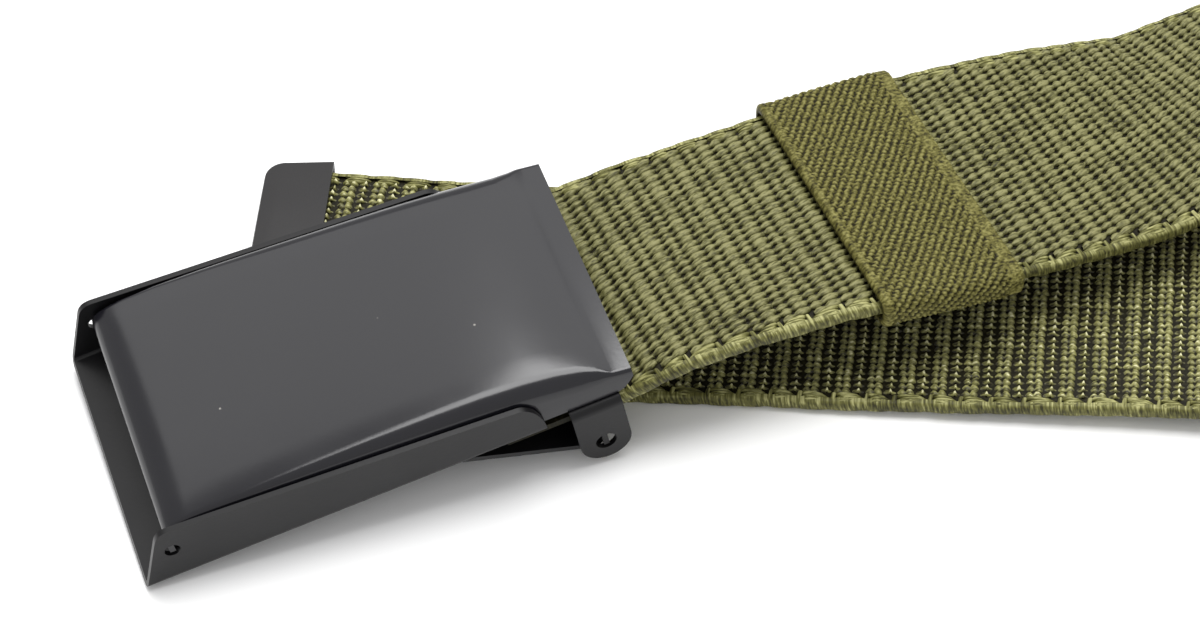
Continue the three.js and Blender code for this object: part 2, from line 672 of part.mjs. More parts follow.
// Clamp lever
function leverGeometry() {
  const half = half_base - sheet - lever_side_gap;
  const t = sheet / 2;
  const jaw_top = -touch_gap * 2 - webbing_thickness;      // just under the webbing
  const low = -lever_depth + t;
  const free = [ear_x - lever_reach, -touch_gap - t * 1.2];
  // middle line of the bent sheet: jaw, round the bend, then the long arm up to the floor
  const bend = [ear_x - lever_bend, low + lever_bend];
  const line = [[ear_x, jaw_top], [ear_x, bend[1]]];
  const arm = Math.atan2(free[1] - low, bend[0] - free[0]);
  for (let k = 1; k <= 8; k++) {
    const a = -(Math.PI / 2 + arm) * (k / 8);
    line.push([bend[0] + lever_bend * Math.cos(a), bend[1] + lever_bend * Math.sin(a)]);
  }
  line.push(free);
  const left = [], right = [];
  line.forEach(([x, z], i) => {
    const a = line[Math.max(0, i - 1)], b = line[Math.min(line.length - 1, i + 1)];
    const d = Math.hypot(b[0] - a[0], b[1] - a[1]);
    const nx = -(b[1] - a[1]) / d, nz = (b[0] - a[0]) / d;
    left.push([x + nx * t, z + nz * t]);
    right.push([x - nx * t, z - nz * t]);
  });
  const side = outline([...left, ...right.reverse()]);
  let body = along(side, 'y', -half, half);
  // teeth along the jaw
  const pitch = (2 * half) / lever_teeth;
  const notch = pitch * 0.45;
  for (let i = 1; i < lever_teeth; i++) {
    const y = -half + pitch * i;
    const cut = outline([
      [y - notch, jaw_top + sheet], [y - notch, jaw_top + 0.01], [y, jaw_top - tooth_depth],
      [y + notch, jaw_top + 0.01], [y + notch, jaw_top + sheet],
    ]);
    body = body.subtract(along(cut, 'x', ear_x - sheet, ear_x + sheet));
  }
  // a tongue at each end as its pivot
  body = body.add(tongue(1, ear_x, -ear_hole_drop, half - sheet, lever_tongue));
  body = body.add(tongue(-1, ear_x, -ear_hole_drop, half - sheet, lever_tongue));
  return toGeometry(body);
}

// Assembly
const group = new THREE.Group();

const buckle = new THREE.Group();
buckle.add(piece('base_frame', baseGeometry(), steel(0x505054, 0.45)));
buckle.add(piece('cover_plate', coverGeometry(), steel(0x5a5a5e, 0.4)));
buckle.add(piece('clamp_lever', leverGeometry(), steel(0x3a3a3c, 0.5)));
buckle_frame.decompose(buckle.position, buckle.quaternion, buckle.scale);

const olive = cloth(0x7b7750);
const webbing = piece('webbing', webbingGeometry(), olive);
const keeper = piece('elastic_keeper', keeperGeometry(), cloth(0x716c45));

const tip = piece('belt_tip', tipGeometry(), steel(0x4c4c4e, 0.5));
const end = path[path.length - 1];
tip.position.copy(end.p);
tip.quaternion.setFromRotationMatrix(new THREE.Matrix4().makeBasis(end.t, end.l, end.n));

const laid = new THREE.Group();
laid.add(buckle, webbing, keeper, tip);
group.add(laid);

// origin: middle of the whole belt's footprint, on the table
laid.updateMatrixWorld(true);
const box = new THREE.Box3().setFromObject(laid, true);
laid.position.set(-(box.min.x + box.max.x) / 2, -(box.min.y + box.max.y) / 2, -box.min.z);
group.updateMatrixWorld(true);

export default group;
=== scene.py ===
# Tactical belt: woven surface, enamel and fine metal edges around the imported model.
# Sizes are in millimetres along the belt and are turned to metres when a mesh is made.

import json
import math

import bmesh
import bpy
import numpy as np
from mathutils import Matrix, Vector


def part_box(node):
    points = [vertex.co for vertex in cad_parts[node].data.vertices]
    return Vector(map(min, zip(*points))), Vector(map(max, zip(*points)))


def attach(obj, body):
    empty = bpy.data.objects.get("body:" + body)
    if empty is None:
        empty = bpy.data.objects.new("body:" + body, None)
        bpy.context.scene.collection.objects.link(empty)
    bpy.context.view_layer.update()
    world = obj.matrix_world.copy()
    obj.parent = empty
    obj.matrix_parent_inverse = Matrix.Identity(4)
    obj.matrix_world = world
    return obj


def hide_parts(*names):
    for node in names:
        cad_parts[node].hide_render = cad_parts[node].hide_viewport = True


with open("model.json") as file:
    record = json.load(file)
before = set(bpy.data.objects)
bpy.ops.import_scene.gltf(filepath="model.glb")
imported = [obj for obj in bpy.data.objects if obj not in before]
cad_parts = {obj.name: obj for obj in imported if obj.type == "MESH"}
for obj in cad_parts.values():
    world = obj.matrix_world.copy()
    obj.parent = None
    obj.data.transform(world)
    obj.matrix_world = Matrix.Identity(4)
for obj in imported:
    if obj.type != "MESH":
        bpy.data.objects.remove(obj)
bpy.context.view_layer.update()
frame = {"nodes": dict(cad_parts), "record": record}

# Belt sizes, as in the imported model
MM = 0.001
WIDTH = 38.0
THICKNESS = 2.4
BELT_LENGTH = 1150.0
TOUCH_GAP = 0.3
UPPER_RUN = 114.5
LOWER_RUN = 124.6
LOWER_PLACE = (75.0, -1.25)
UPPER_TWIST = 150.0
LOWER_TWIST = 190.0
FAR_ROUND = 0.36
FAR_ARM = 0.45
FAR_POINTS = 2001
FAR_HALVINGS = 50
STATION_STEP = 1.0
PROBE = 0.5
TIP_LENGTH = 10.2
TIP_LIFT = 0.65
TIP_SETTLE = 22.0

# Where the buckle stands
BASE_WIDTH = 41.2
FLOOR_LENGTH = 68.1
EAR_LENGTH = 7.3
EAR_HOLE_DROP = 7.1
FIXED_END_INSET = 12.8
SIDE_SHIFT = 0.45
BUCKLE_PLACE = (-67.25, -26.66)
BUCKLE_YAW = 18.5
LEFT_CORNER_LIFT = 0.3
NEAR_EAR_LIFT = 1.3

# Keeper
KEEPER_FROM = 51.3
KEEPER_LENGTH = 20.5
KEEPER_WALL = 1.2
KEEPER_SKEW = 2.4
KEEPER_SLACK = 0.8
KEEPER_ROUND = 0.9

# Upper strip: at = share of its run, then heading, climb and roll in degrees
UPPER_ROWS = [
    dict(at=0.000, heading=18.5, climb=10.4, roll=2.0),
    dict(at=0.130, heading=18.5, climb=10.6, roll=1.9),
    dict(at=0.170, heading=18.7, climb=18.0, roll=0.3),
    dict(at=0.213, heading=18.6, climb=12.0, roll=-1.4),
    dict(at=0.300, heading=18.6, climb=5.6, roll=-1.7),
    dict(at=0.388, heading=18.9, climb=2.0, roll=-0.5),
    dict(at=0.475, heading=19.6, climb=-0.7, roll=1.3),
    dict(at=0.562, heading=20.6, climb=-3.2, roll=3.3),
    dict(at=0.650, heading=22.0, climb=-5.7, roll=4.6),
    dict(at=0.737, heading=23.6, climb=-7.8, roll=4.8),
    dict(at=0.824, heading=25.4, climb=-8.9, roll=3.6),
    dict(at=0.912, heading=27.4, climb=-7.0, roll=-0.5),
    dict(at=1.000, heading=29.2, climb=-3.0, roll=-7.0),
]
# Lower strip, towards the tip: heading and how far its near side is turned up, in degrees
LOWER_ROWS = [
    dict(at=0.00, heading=175.4, edge_up=3.2),
    dict(at=0.35, heading=175.6, edge_up=0.6),
    dict(at=0.70, heading=175.2, edge_up=0.0),
    dict(at=1.00, heading=175.1, edge_up=0.0),
]

# One period of a yarn on the outer face: at = share of the period, height above the ground
# and half width as shares of a yarn's own, sway to the far side in shares of the row pitch.
# Each strand climbs by one row in a period, so the floats lie aslant.
FACE_CLIMB = 1.0
FACE_ROWS = [
    dict(at=0.000, height=0.46, width=0.50, sway=0.00),
    dict(at=0.055, height=0.58, width=0.64, sway=0.02),
    dict(at=0.125, height=0.78, width=0.90, sway=0.04),
    dict(at=0.210, height=0.90, width=1.02, sway=0.00),
    dict(at=0.300, height=0.80, width=0.96, sway=-0.05),
    dict(at=0.370, height=0.52, width=0.66, sway=-0.03),
    dict(at=0.425, height=0.42, width=0.54, sway=0.03),
    dict(at=0.490, height=0.62, width=0.80, sway=0.07),
    dict(at=0.580, height=0.90, width=1.04, sway=0.05),
    dict(at=0.700, height=1.00, width=1.10, sway=0.00),
    dict(at=0.830, height=0.88, width=1.00, sway=-0.05),
    dict(at=0.930, height=0.62, width=0.70, sway=-0.04),
]
# The same for the inner face: a knot, a deep gap, a thick rib, a thin rib and a groove
BACK_ROWS = [
    dict(at=0.000, height=0.10, width=0.44, sway=-0.10),
    dict(at=0.060, height=1.25, width=0.66, sway=-0.02),
    dict(at=0.125, height=0.10, width=0.66, sway=0.06),
    dict(at=0.215, height=-0.35, width=0.80, sway=0.05),
    dict(at=0.310, height=-0.75, width=0.60, sway=-0.05),
    dict(at=0.370, height=0.35, width=0.80, sway=-0.12),
    dict(at=0.440, height=0.85, width=1.02, sway=-0.05),
    dict(at=0.520, height=0.70, width=0.96, sway=0.08),
    dict(at=0.590, height=-0.30, width=0.56, sway=0.04),
    dict(at=0.675, height=0.66, width=0.90, sway=-0.08),
    dict(at=0.750, height=0.45, width=0.84, sway=0.08),
    dict(at=0.860, height=-0.80, width=0.42, sway=0.00),
]
# One period of a woven edge: at = share of the period, girth as a share of its own
RIM_ROWS = [
    dict(at=0.00, girth=0.92),
    dict(at=0.16, girth=1.00),
    dict(at=0.42, girth=1.02),
    dict(at=0.66, girth=0.99),
    dict(at=0.82, girth=0.93),
]
# The strands on top of it, which fan out along the period: at and height as above, half width
# in mm and how far they are spread, and for each strand its lag and its inset from the rim in mm
STRAND_ROWS = [
    dict(at=-0.04, height=-0.30, width=0.20, spread=0.55),
    dict(at=0.08, height=0.50, width=0.25, spread=0.66),
    dict(at=0.26, height=0.82, width=0.29, spread=0.84),
    dict(at=0.46, height=0.92, width=0.31, spread=1.00),
    dict(at=0.60, height=0.66, width=0.29, spread=1.14),
    dict(at=0.72, height=-0.10, width=0.22, spread=1.28),
]
STRANDS = [dict(lag=0.06, inset=0.66), dict(lag=0.00, inset=1.22), dict(lag=0.09, inset=1.74)]
STRAND_MIDDLE = 1.22
KNOTS = [dict(at=0.84, lean=0.15)]

# Weave
PERIODS = 262
PERIOD = BELT_LENGTH / PERIODS
YARN_COUNT = 31
EDGE_DEPTH = 1.3
ROW_PITCH = (WIDTH - 2 * EDGE_DEPTH) / YARN_COUNT
YARN_RISE = 0.42
YARN_FLANK = 0.42
YARN_ROUNDNESS = 0.8
GROUND = THICKNESS / 2 - YARN_RISE
WEAVE_SKEW = KEEPER_SKEW / WIDTH
END_MARGIN = 0.05
WELD = 0.004
ROUNDING = 1e-4

# Every uneven part has a seed of its own
SEED = 7
BACK_SEED = SEED + 2
KEEPER_SEED = SEED + 5
EDGE_SEED = SEED + 20
SPECKLE_SEED = SEED + 30

# The plain band under the yarns, in near-black painted shade for the gaps
CORE_DROP = 0.26
CORE_HALF = GROUND - CORE_DROP
CORE_MARGIN = 0.1
CORE_STEP = 2.0
CORE_COLUMNS = 5
CORE_SHADE = 0.2

# The periods in view have fine cells, the rest keep only these rows of them
FINE_UPPER_TO = 34
FINE_LOWER_FROM = PERIODS - 31
FINE_SECTION = 6
THIN_SECTION = 4
THIN_FACE = (0, 3, 6, 9)
THIN_BACK = (1, 4, 6, 9, 11)

# Unevenness from yarn to yarn in mm, then how the shade follows the height in the cell: painted shade
# low in the cell, painted highlight on the crowns
YARN_LIFT = 0.035
YARN_SWAY = 0.045
YARN_SLIP = 0.05
STREAK_SHIFT = 3.1
UNEVEN_SHADE = 0.11
SHADE_LIMIT = 1.5
RIB_PAINTED_LIGHT = 0.8
KNOT_PAINTED_GLINT = 4.5

# The end inside the buckle: its first periods have no yarns, and the weave starts in painted shade, dark
# as the inside of the buckle
SEALED_PERIODS = 3
PAINTED_SHADE_END = 11.5
PAINTED_SHADE_FADE = 1.5
PAINTED_SHADE_DEPTH = 2.0

# Woven edges: a rim, strands fanned over it and knots turned round it
RIM_DEPTH = 0.95
RIM_HALF = 1.06
RIM_SQUARENESS = 0.62
RIM_POINTS = 9
RIM_LAP = 0.6
STRAND_POINTS = 5
KNOT_HALF = 0.30
KNOT_REACH = 0.80
KNOT_POINTS = 9
KNOT_SQUARENESS = 0.6
KNOT_SINK = 0.02
KNOT_PROUD = 0.03
KNOT_SECTION = ((-1, 0.26), (-0.5, 0.03), (0.5, 0.03), (1, 0.26))

# How uneven the woven edges are, and their shade: painted shade low on the rim and painted highlight on
# the raised strands
EDGE_GROWTH = 0.03
EDGE_SLIP = 0.30
EDGE_SWAY = 0.07
EDGE_SPECKLE = 0.07
EDGE_SHADE = 0.34
EDGE_PAINTED_HIGHLIGHT = 0.50
EDGE_UNEVEN_SHADE = 0.10
TURN_LEAN = 0.25

# The near edge stands out by this, from past the buckle to before the tip
NEAR_PROUD = 0.6
PROUD_FROM = 14
PROUD_RISE = 10
PROUD_STOP = 3
PROUD_FALL = 6

# The keeper's cloth: slanting ribs of stitches with small ties between them
GRAIN = 0.2
CORNER_POINTS = 9
TWILL_PITCH = 0.985
TWILL_SLANT = 50.0
STITCH = 0.75
STITCH_LAG = 0.37
STITCH_BASE = 0.62
TIE_LAG = 0.3
TIE_SHARE = 0.42
TIE_EVEN = 0.75
RIB_ROUNDNESS = 0.7
RIB_LEVEL = 0.8
RIB_DEPTH = 0.52

# Its smooth edge on the right, its rolled edge on the left and its plain inside
RIPPLE_FINE = dict(height=0.03, length=1.3)
RIPPLE_BROAD = dict(height=0.05, length=4.1)
KEEPER_SELVEDGE = 2.3
SELVEDGE_FADE = 0.25
SELVEDGE_SINK = 0.16
FOLD_LENGTH = 1.5
FOLD_FADE = 0.6
ROLL_LENGTH = 1.7
ROLL_HEIGHT = 0.21
ROLL_ROUNDNESS = 0.8
EDGE_TAPER = 0.45
KEEPER_SINK = 0.12
KEEPER_GRIT = 0.035
INNER_DEPTH = 0.9 * KEEPER_WALL
INNER_SHADE = 0.1

# How its shade follows the height of the cloth: painted shade in the grooves and painted highlight on
# the crests, with random grit
PLAIN_SHADE = 0.74
RIPPLE_SHADE = 1.6
CREST_START = 0.40
CREST_GAIN = 1.75
GRIT_SHADE = 0.12

# Metal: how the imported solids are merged, and how wide their edges are eased in mm
MERGE_WITHIN = 2e-6
FLAT_WITHIN = 0.4
EASED_ANGLE = 28.0
EASED_SEGMENTS = 2
PLATE_EASE = 0.14
LEVER_EASE = 0.12
TIP_EASE = 0.10

# Cloth: how fibres and patches tone it, and the height of its fibres in metres
FIBRE_TONE = 2.5
MOTTLE_TONE = 0.15
MOTTLE_SCALE = 2.2
TONE_SPAN = 1.12
FIBRE_RELIEF = 0.00012
CLOTH_ROUGHNESS = 0.5

# Enamel: orange peel in metres, patches of gloss and specks of dust
PEEL_RELIEF = 0.0001
PATCH_SCALE = 70.0
PATCH_RANGE = (0.3, 0.7)
SPECK_SCALE = 110.0
SPECK_RADIUS = 0.022
DUST = (0.22, 0.21, 0.19)

# Floor, light and camera, in metres
FLOOR_HALF = 4.0
FLOOR_TONE = 0.93
FLOOR_ROUGHNESS = 0.9
FLOOR_GLOSS = 0.1
SKY_STRENGTH = 0.80
CAMERA_PLACE = (-0.20021, -0.37939, 0.37797)
CAMERA_AHEAD = Vector((0.0, 0.64625, -0.76312))
CAMERA_RIGHT = Vector((0.9999, -0.0101, -0.0086))
CAMERA_CLIP = 0.01
SENSOR = 36.0
PIXEL_FOCUS = 3500.0
IMAGE_WIDTH = 1200.0


def reading(rows, key, at):
    """Smooth reading of a table between its rows."""
    i = 0
    while i < len(rows) - 2 and at > rows[i + 1]["at"]:
        i += 1
    a, b = rows[i], rows[i + 1]
    h = b["at"] - a["at"]
    u = min(1.0, max(0.0, (at - a["at"]) / h))

    def slope(j):
        left = right = None
        if j > 0:
            left = (rows[j][key] - rows[j - 1][key]) / (rows[j]["at"] - rows[j - 1]["at"])
        if j < len(rows) - 1:
            right = (rows[j + 1][key] - rows[j][key]) / (rows[j + 1]["at"] - rows[j]["at"])
        if left is None:
            return right
        if right is None:
            return left
        return 0.0 if left * right <= 0 else 2 * left * right / (left + right)

    m0, m1 = slope(i) * h, slope(i + 1) * h
    return (
        (2 * u**3 - 3 * u**2 + 1) * a[key]
        + (u**3 - 2 * u**2 + u) * m0
        + (-2 * u**3 + 3 * u**2) * b[key]
        + (u**3 - u**2) * m1
    )


def ease(u):
    v = min(1.0, max(0.0, u))
    return v * v * (3 - 2 * v)


# The way of the webbing
def buckle_frame():
    """The buckle's turn and place from the three heights it rests at."""
    ear_x = FLOOR_LENGTH - EAR_LENGTH / 2
    ear_bottom = EAR_HOLE_DROP + EAR_LENGTH / 2
    far_lift = THICKNESS + TOUCH_GAP
    ny = (far_lift - NEAR_EAR_LIFT) / BASE_WIDTH
    m = math.sqrt(1 - ny * ny)
    reach = math.hypot(ear_x, ear_bottom)
    rise = NEAR_EAR_LIFT - LEFT_CORNER_LIFT
    nx = m * math.sin(math.atan2(ear_bottom, ear_x) + math.asin(rise / (m * reach)))
    level = math.sqrt(1 - nx * nx)
    yaw = math.radians(BUCKLE_YAW)
    ex = Vector((math.cos(yaw) * level, math.sin(yaw) * level, nx))
    side = Vector((-math.sin(yaw), math.cos(yaw), 0))
    roll = math.asin(ny / level)
    ey = side * math.cos(roll) + ex.cross(side) * math.sin(roll)
    ez = ex.cross(ey)
    turn = Matrix((ex, ey, ez)).transposed().to_4x4()
    corner = turn @ Vector((0, -BASE_WIDTH / 2, 0))
    turn.translation = (*BUCKLE_PLACE, LEFT_CORNER_LIFT - corner.z)
    return turn, ear_x


def directions(heading, climb, roll):
    """Travel, left side and outer face of the strip, from its angles in degrees."""
    h, c, r = map(math.radians, (heading, climb, roll))
    t = Vector((math.cos(h) * math.cos(c), math.sin(h) * math.cos(c), math.sin(c)))
    side = Vector((-math.sin(h), math.cos(h), 0))
    up = t.cross(side)
    left = side * math.cos(r) + up * math.sin(r)
    return t, left, up * math.cos(r) - side * math.sin(r)


def rest_height(roll):
    r = math.radians(roll)
    return WIDTH / 2 * abs(math.sin(r)) + THICKNESS / 2 * abs(math.cos(r))


def upper_stations():
    turn, ear_x = buckle_frame()
    p = turn @ Vector((ear_x - FIXED_END_INSET, -SIDE_SHIFT, -TOUCH_GAP - THICKNESS / 2))
    count = round(UPPER_RUN / STATION_STEP)
    step = UPPER_RUN / count
    out = []
    for i in range(count + 1):
        at = i / count
        angles = [reading(UPPER_ROWS, key, at) for key in ("heading", "climb", "roll")]
        out.append((at * UPPER_RUN, p.copy(), *directions(*angles)))
        heading, climb = (reading(UPPER_ROWS, key, (i + 0.5) / count) for key in ("heading", "climb"))
        p = p + directions(heading, climb, 0)[0] * step
    return out


def lower_stations():
    p = Vector((*LOWER_PLACE, 0))
    count = round(LOWER_RUN / STATION_STEP)
    step = LOWER_RUN / count
    out = []
    for i in range(count + 1):
        at = i / count
        roll = -180 + reading(LOWER_ROWS, "edge_up", at)
        left = LOWER_RUN * (1 - at)
        z = rest_height(roll) + TIP_LIFT * ease(1 - (left - TIP_LENGTH) / TIP_SETTLE)
        heading = reading(LOWER_ROWS, "heading", at)
        out.append((BELT_LENGTH - left, Vector((p.x, p.y, z)), *directions(heading, 0, roll)))
        heading = reading(LOWER_ROWS, "heading", (i + 0.5) / count)
        p = p + directions(heading, 0, 0)[0] * step
    return out


def far_loop(start, end):
    """The plain loop on its edge between the two strips, as long as the belt needs."""
    length = BELT_LENGTH - UPPER_RUN - LOWER_RUN
    p0, p3 = (np.array(row[1])[:2] for row in (start, end))
    t0, t3 = (np.array(row[2])[:2] for row in (start, end))
    t0, t3 = t0 / np.linalg.norm(t0), t3 / np.linalg.norm(t3)
    middle = (t0 - t3) / np.linalg.norm(t0 - t3)
    turn = np.array([middle[1], -middle[0]])
    u = np.linspace(0, 1, FAR_POINTS)[:, None]

    def bezier(a, b, c, d):
        return (1 - u) ** 3 * a + 3 * u * (1 - u) ** 2 * b + 3 * u**2 * (1 - u) * c + u**3 * d

    def curve(reach):
        far = (p0 + p3) / 2 + middle * reach
        arm, round_ = reach * FAR_ARM, reach * FAR_ROUND
        first = bezier(p0, p0 + t0 * arm, far - turn * round_, far)
        second = bezier(far, far + turn * round_, p3 - t3 * arm, p3)
        points = np.concatenate([first, second[1:]])
        run = np.r_[0, np.cumsum(np.linalg.norm(np.diff(points, axis=0), axis=1))]
        return points, run

    low, high = 0.0, length
    for _ in range(FAR_HALVINGS):
        reach = (low + high) / 2
        if curve(reach)[1][-1] < length:
            low = reach
        else:
            high = reach
    points, run = curve(reach)
    start_roll = UPPER_ROWS[-1]["roll"]
    end_roll = -180 + LOWER_ROWS[0]["edge_up"]
    extra = start[1].z - rest_height(start_roll)
    sink = math.tan(math.asin(start[2].z))

    def roll_at(d):
        a = start_roll + (-90 - start_roll) * ease(d / UPPER_TWIST)
        return a + (end_roll + 90) * ease(1 - (length - d) / LOWER_TWIST)

    def height_at(d):
        v = min(1.0, d / UPPER_TWIST)
        turning = rest_height(roll_at(PROBE)) - rest_height(roll_at(0))
        slope = (sink - turning / PROBE) * UPPER_TWIST
        fade = extra * (2 * v**3 - 3 * v**2 + 1) + slope * (v**3 - 2 * v**2 + v)
        return rest_height(roll_at(d)) + max(0.0, fade)

    count = round(length / (2 * STATION_STEP))
    out = []
    for i in range(1, count):
        d = i / count * length
        behind, here, ahead = (
            [float(np.interp(d + e, run, points[:, k])) for k in (0, 1)] for e in (-PROBE, 0, PROBE)
        )
        heading = math.degrees(math.atan2(ahead[1] - behind[1], ahead[0] - behind[0]))
        rise = (height_at(d + PROBE) - height_at(d - PROBE)) / (2 * PROBE)
        climb = math.degrees(math.atan(rise))
        place = Vector((*here, height_at(d)))
        out.append((UPPER_RUN + d, place, *directions(heading, climb, roll_at(d))))
    return out


def belt_way():
    """Stations along the whole belt as arrays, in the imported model's frame."""
    upper, lower = upper_stations(), lower_stations()
    rows = upper + far_loop(upper[-1], lower[0]) + lower
    run = np.array([row[0] for row in rows])
    place, left, out = (np.array([tuple(row[k]) for row in rows]) for k in (1, 3, 4))
    halves = [(a * WIDTH / 2, b * THICKNESS / 2) for a in (-1, 1) for b in (-1, 1)]
    drawn = np.concatenate([place + left * a + out * b for a, b in halves])
    low, high = (np.array(c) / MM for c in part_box("webbing"))
    shift = ((low + high) - (drawn.min(0) + drawn.max(0))) / 2
    shift[2] = 0
    return run, place + shift, left, out


WAY = belt_way()


def laid(points):
    """Points drawn as run, side and out are laid along the belt, in metres."""
    run, place, left, out = WAY

    def between(rows):
        return np.stack([np.interp(points[:, 0], run, rows[:, k]) for k in range(3)], 1)

    side, up = between(left), between(out)
    side /= np.linalg.norm(side, axis=1)[:, None]
    up /= np.linalg.norm(up, axis=1)[:, None]
    return (between(place) + side * points[:, 1:2] + up * points[:, 2:3]) * MM


# Meshes
def mesh_object(name, points, faces, smooth=True):
    mesh = bpy.data.meshes.new(name)
    mesh.from_pydata([tuple(p) for p in points], [], [tuple(f) for f in faces])
    mesh.validate()
    obj = bpy.data.objects.new(name, mesh)
    bpy.context.scene.collection.objects.link(obj)
    mesh.polygons.foreach_set("use_smooth", [smooth] * len(mesh.polygons))
    return obj


def coordinates(mesh):
    co = np.empty(len(mesh.vertices) * 3, np.float32)
    mesh.vertices.foreach_get("co", co)
    return co.reshape(-1, 3).astype(float)


def set_coordinates(mesh, points):
    mesh.vertices.foreach_set("co", np.asarray(points, np.float32).ravel())
    mesh.update()


def store_uv(mesh, along_across):
    """A UV map from one pair of lengths for each vertex, in centimetres of yarn."""
    layer = mesh.uv_layers.new(name="yarn_way")
    index = np.empty(len(mesh.loops), np.int32)
    mesh.loops.foreach_get("vertex_index", index)
    layer.data.foreach_set("uv", (along_across[index] / 10).astype(np.float32).ravel())


def store_value(mesh, name, values):
    attribute = mesh.attributes.new(name, "FLOAT", "POINT")
    attribute.data.foreach_set("value", np.asarray(values, np.float32))


def ring_faces(rings, points, wrap=True):
    faces = []
    last = points if wrap else points - 1
    for i in range(rings - 1):
        for j in range(last):
            a, b = i * points + j, i * points + (j + 1) % points
            faces.append((a, b, b + points, a + points))
    return faces


# One period of a yarn, drawn with X along the belt and Z out of its face
def arched_tube(rows, section_points, half):
    """A low arched tube, open below, through rows of at, height, width and centre."""
    points = []
    for row in rows:
        top = YARN_RISE * row["height"]
        for k in range(section_points):
            a = math.pi * k / (section_points - 1)
            arch = math.sin(a) ** YARN_ROUNDNESS if 0 < k < section_points - 1 else 0.0
            y = row["centre"] - math.cos(a) * half * row["width"]
            points.append((row["at"] * PERIOD, y, top - YARN_FLANK * (1 - arch)))
    faces = [tuple(reversed(f)) for f in ring_faces(len(rows), section_points, False)]
    return points, faces


def yarn_cell(name, rows, section_points, climb=0.0, kept=None):
    chosen = [rows[i] for i in kept] if kept else list(rows)
    chosen.append(dict(chosen[0], at=1.0 + chosen[0]["at"]))
    centred = []
    for row in chosen:
        shares = row["sway"] + climb * (row["at"] - 0.5)
        centred.append(dict(row, centre=shares * ROW_PITCH))
    return mesh_object(name, *arched_tube(centred, section_points, ROW_PITCH / 2))


def rim_points(rows):
    """The round rim of an edge, y inwards from its outermost line."""
    points = []
    for row in rows:
        for k in range(RIM_POINTS):
            a = math.pi * k / (RIM_POINTS - 1)
            level = math.copysign(abs(math.cos(a)) ** RIM_SQUARENESS, math.cos(a))
            bulge = abs(math.sin(a)) ** RIM_SQUARENESS if 0 < k < RIM_POINTS - 1 else 0.0
            y = RIM_DEPTH * (1 - bulge * row["girth"])
            points.append((row["at"] * PERIOD, y, level * RIM_HALF * row["girth"]))
    return points


def knot_points(knot):
    """A flat yarn that is turned round the rim from one face to the other."""
    points = []
    for i in range(KNOT_POINTS):
        a = math.pi * i / (KNOT_POINTS - 1)
        bulge = math.sin(a) ** KNOT_SQUARENESS if 0 < i < KNOT_POINTS - 1 else 0.0
        y = RIM_DEPTH + KNOT_REACH - bulge * (RIM_DEPTH + KNOT_REACH + KNOT_PROUD)
        z = math.cos(a) * (THICKNESS / 2 - KNOT_SINK)
        lean = knot["lean"] * (y - RIM_DEPTH)
        for share, drop in KNOT_SECTION:
            x = knot["at"] * PERIOD + share * KNOT_HALF - lean
            points.append((x, y + drop * math.sin(a), z * (1 - drop / (THICKNESS / 2))))
    return points


def edge_cell(name, knots):
    """One period of a woven edge: a rim, fanning strands on each face and the knots across them."""
    points, faces, kinds = [], [], []

    def join(more_points, more_faces, turned):
        start = len(points)
        points.extend(more_points)
        kinds.extend([turned] * len(more_points))
        faces.extend(tuple(start + i for i in f) for f in more_faces)

    rows = RIM_ROWS + [dict(RIM_ROWS[0], at=1.0)]
    join(rim_points(rows), ring_faces(len(rows), RIM_POINTS, False), 1.0)
    for side in (1, -1):
        for strand in STRANDS:
            fanned = []
            for row in STRAND_ROWS:
                centre = STRAND_MIDDLE + (strand["inset"] - STRAND_MIDDLE) * row["spread"]
                fanned.append(dict(row, at=row["at"] + strand["lag"], centre=centre))
            more, closed = arched_tube(fanned, STRAND_POINTS, 1.0)
            more = [(x, y, side * (GROUND + z)) for x, y, z in more]
            join(more, closed if side > 0 else [tuple(reversed(f)) for f in closed], 0.0)
    for knot in knots:
        join(knot_points(knot), ring_faces(KNOT_POINTS, len(KNOT_SECTION), False), 1.0)
    cell = mesh_object(name, points, faces)
    store_value(cell.data, "turned", kinds)
    return cell


def maths(tree, operation, *terms):
    """The result of a Math node whose terms are sockets or plain numbers, in order."""
    node = tree.nodes.new("ShaderNodeMath")
    node.operation = operation
    for socket, term in zip(node.inputs, terms):
        if isinstance(term, (int, float)):
            socket.default_value = term
        else:
            tree.links.new(term, socket)
    return node.outputs[0]


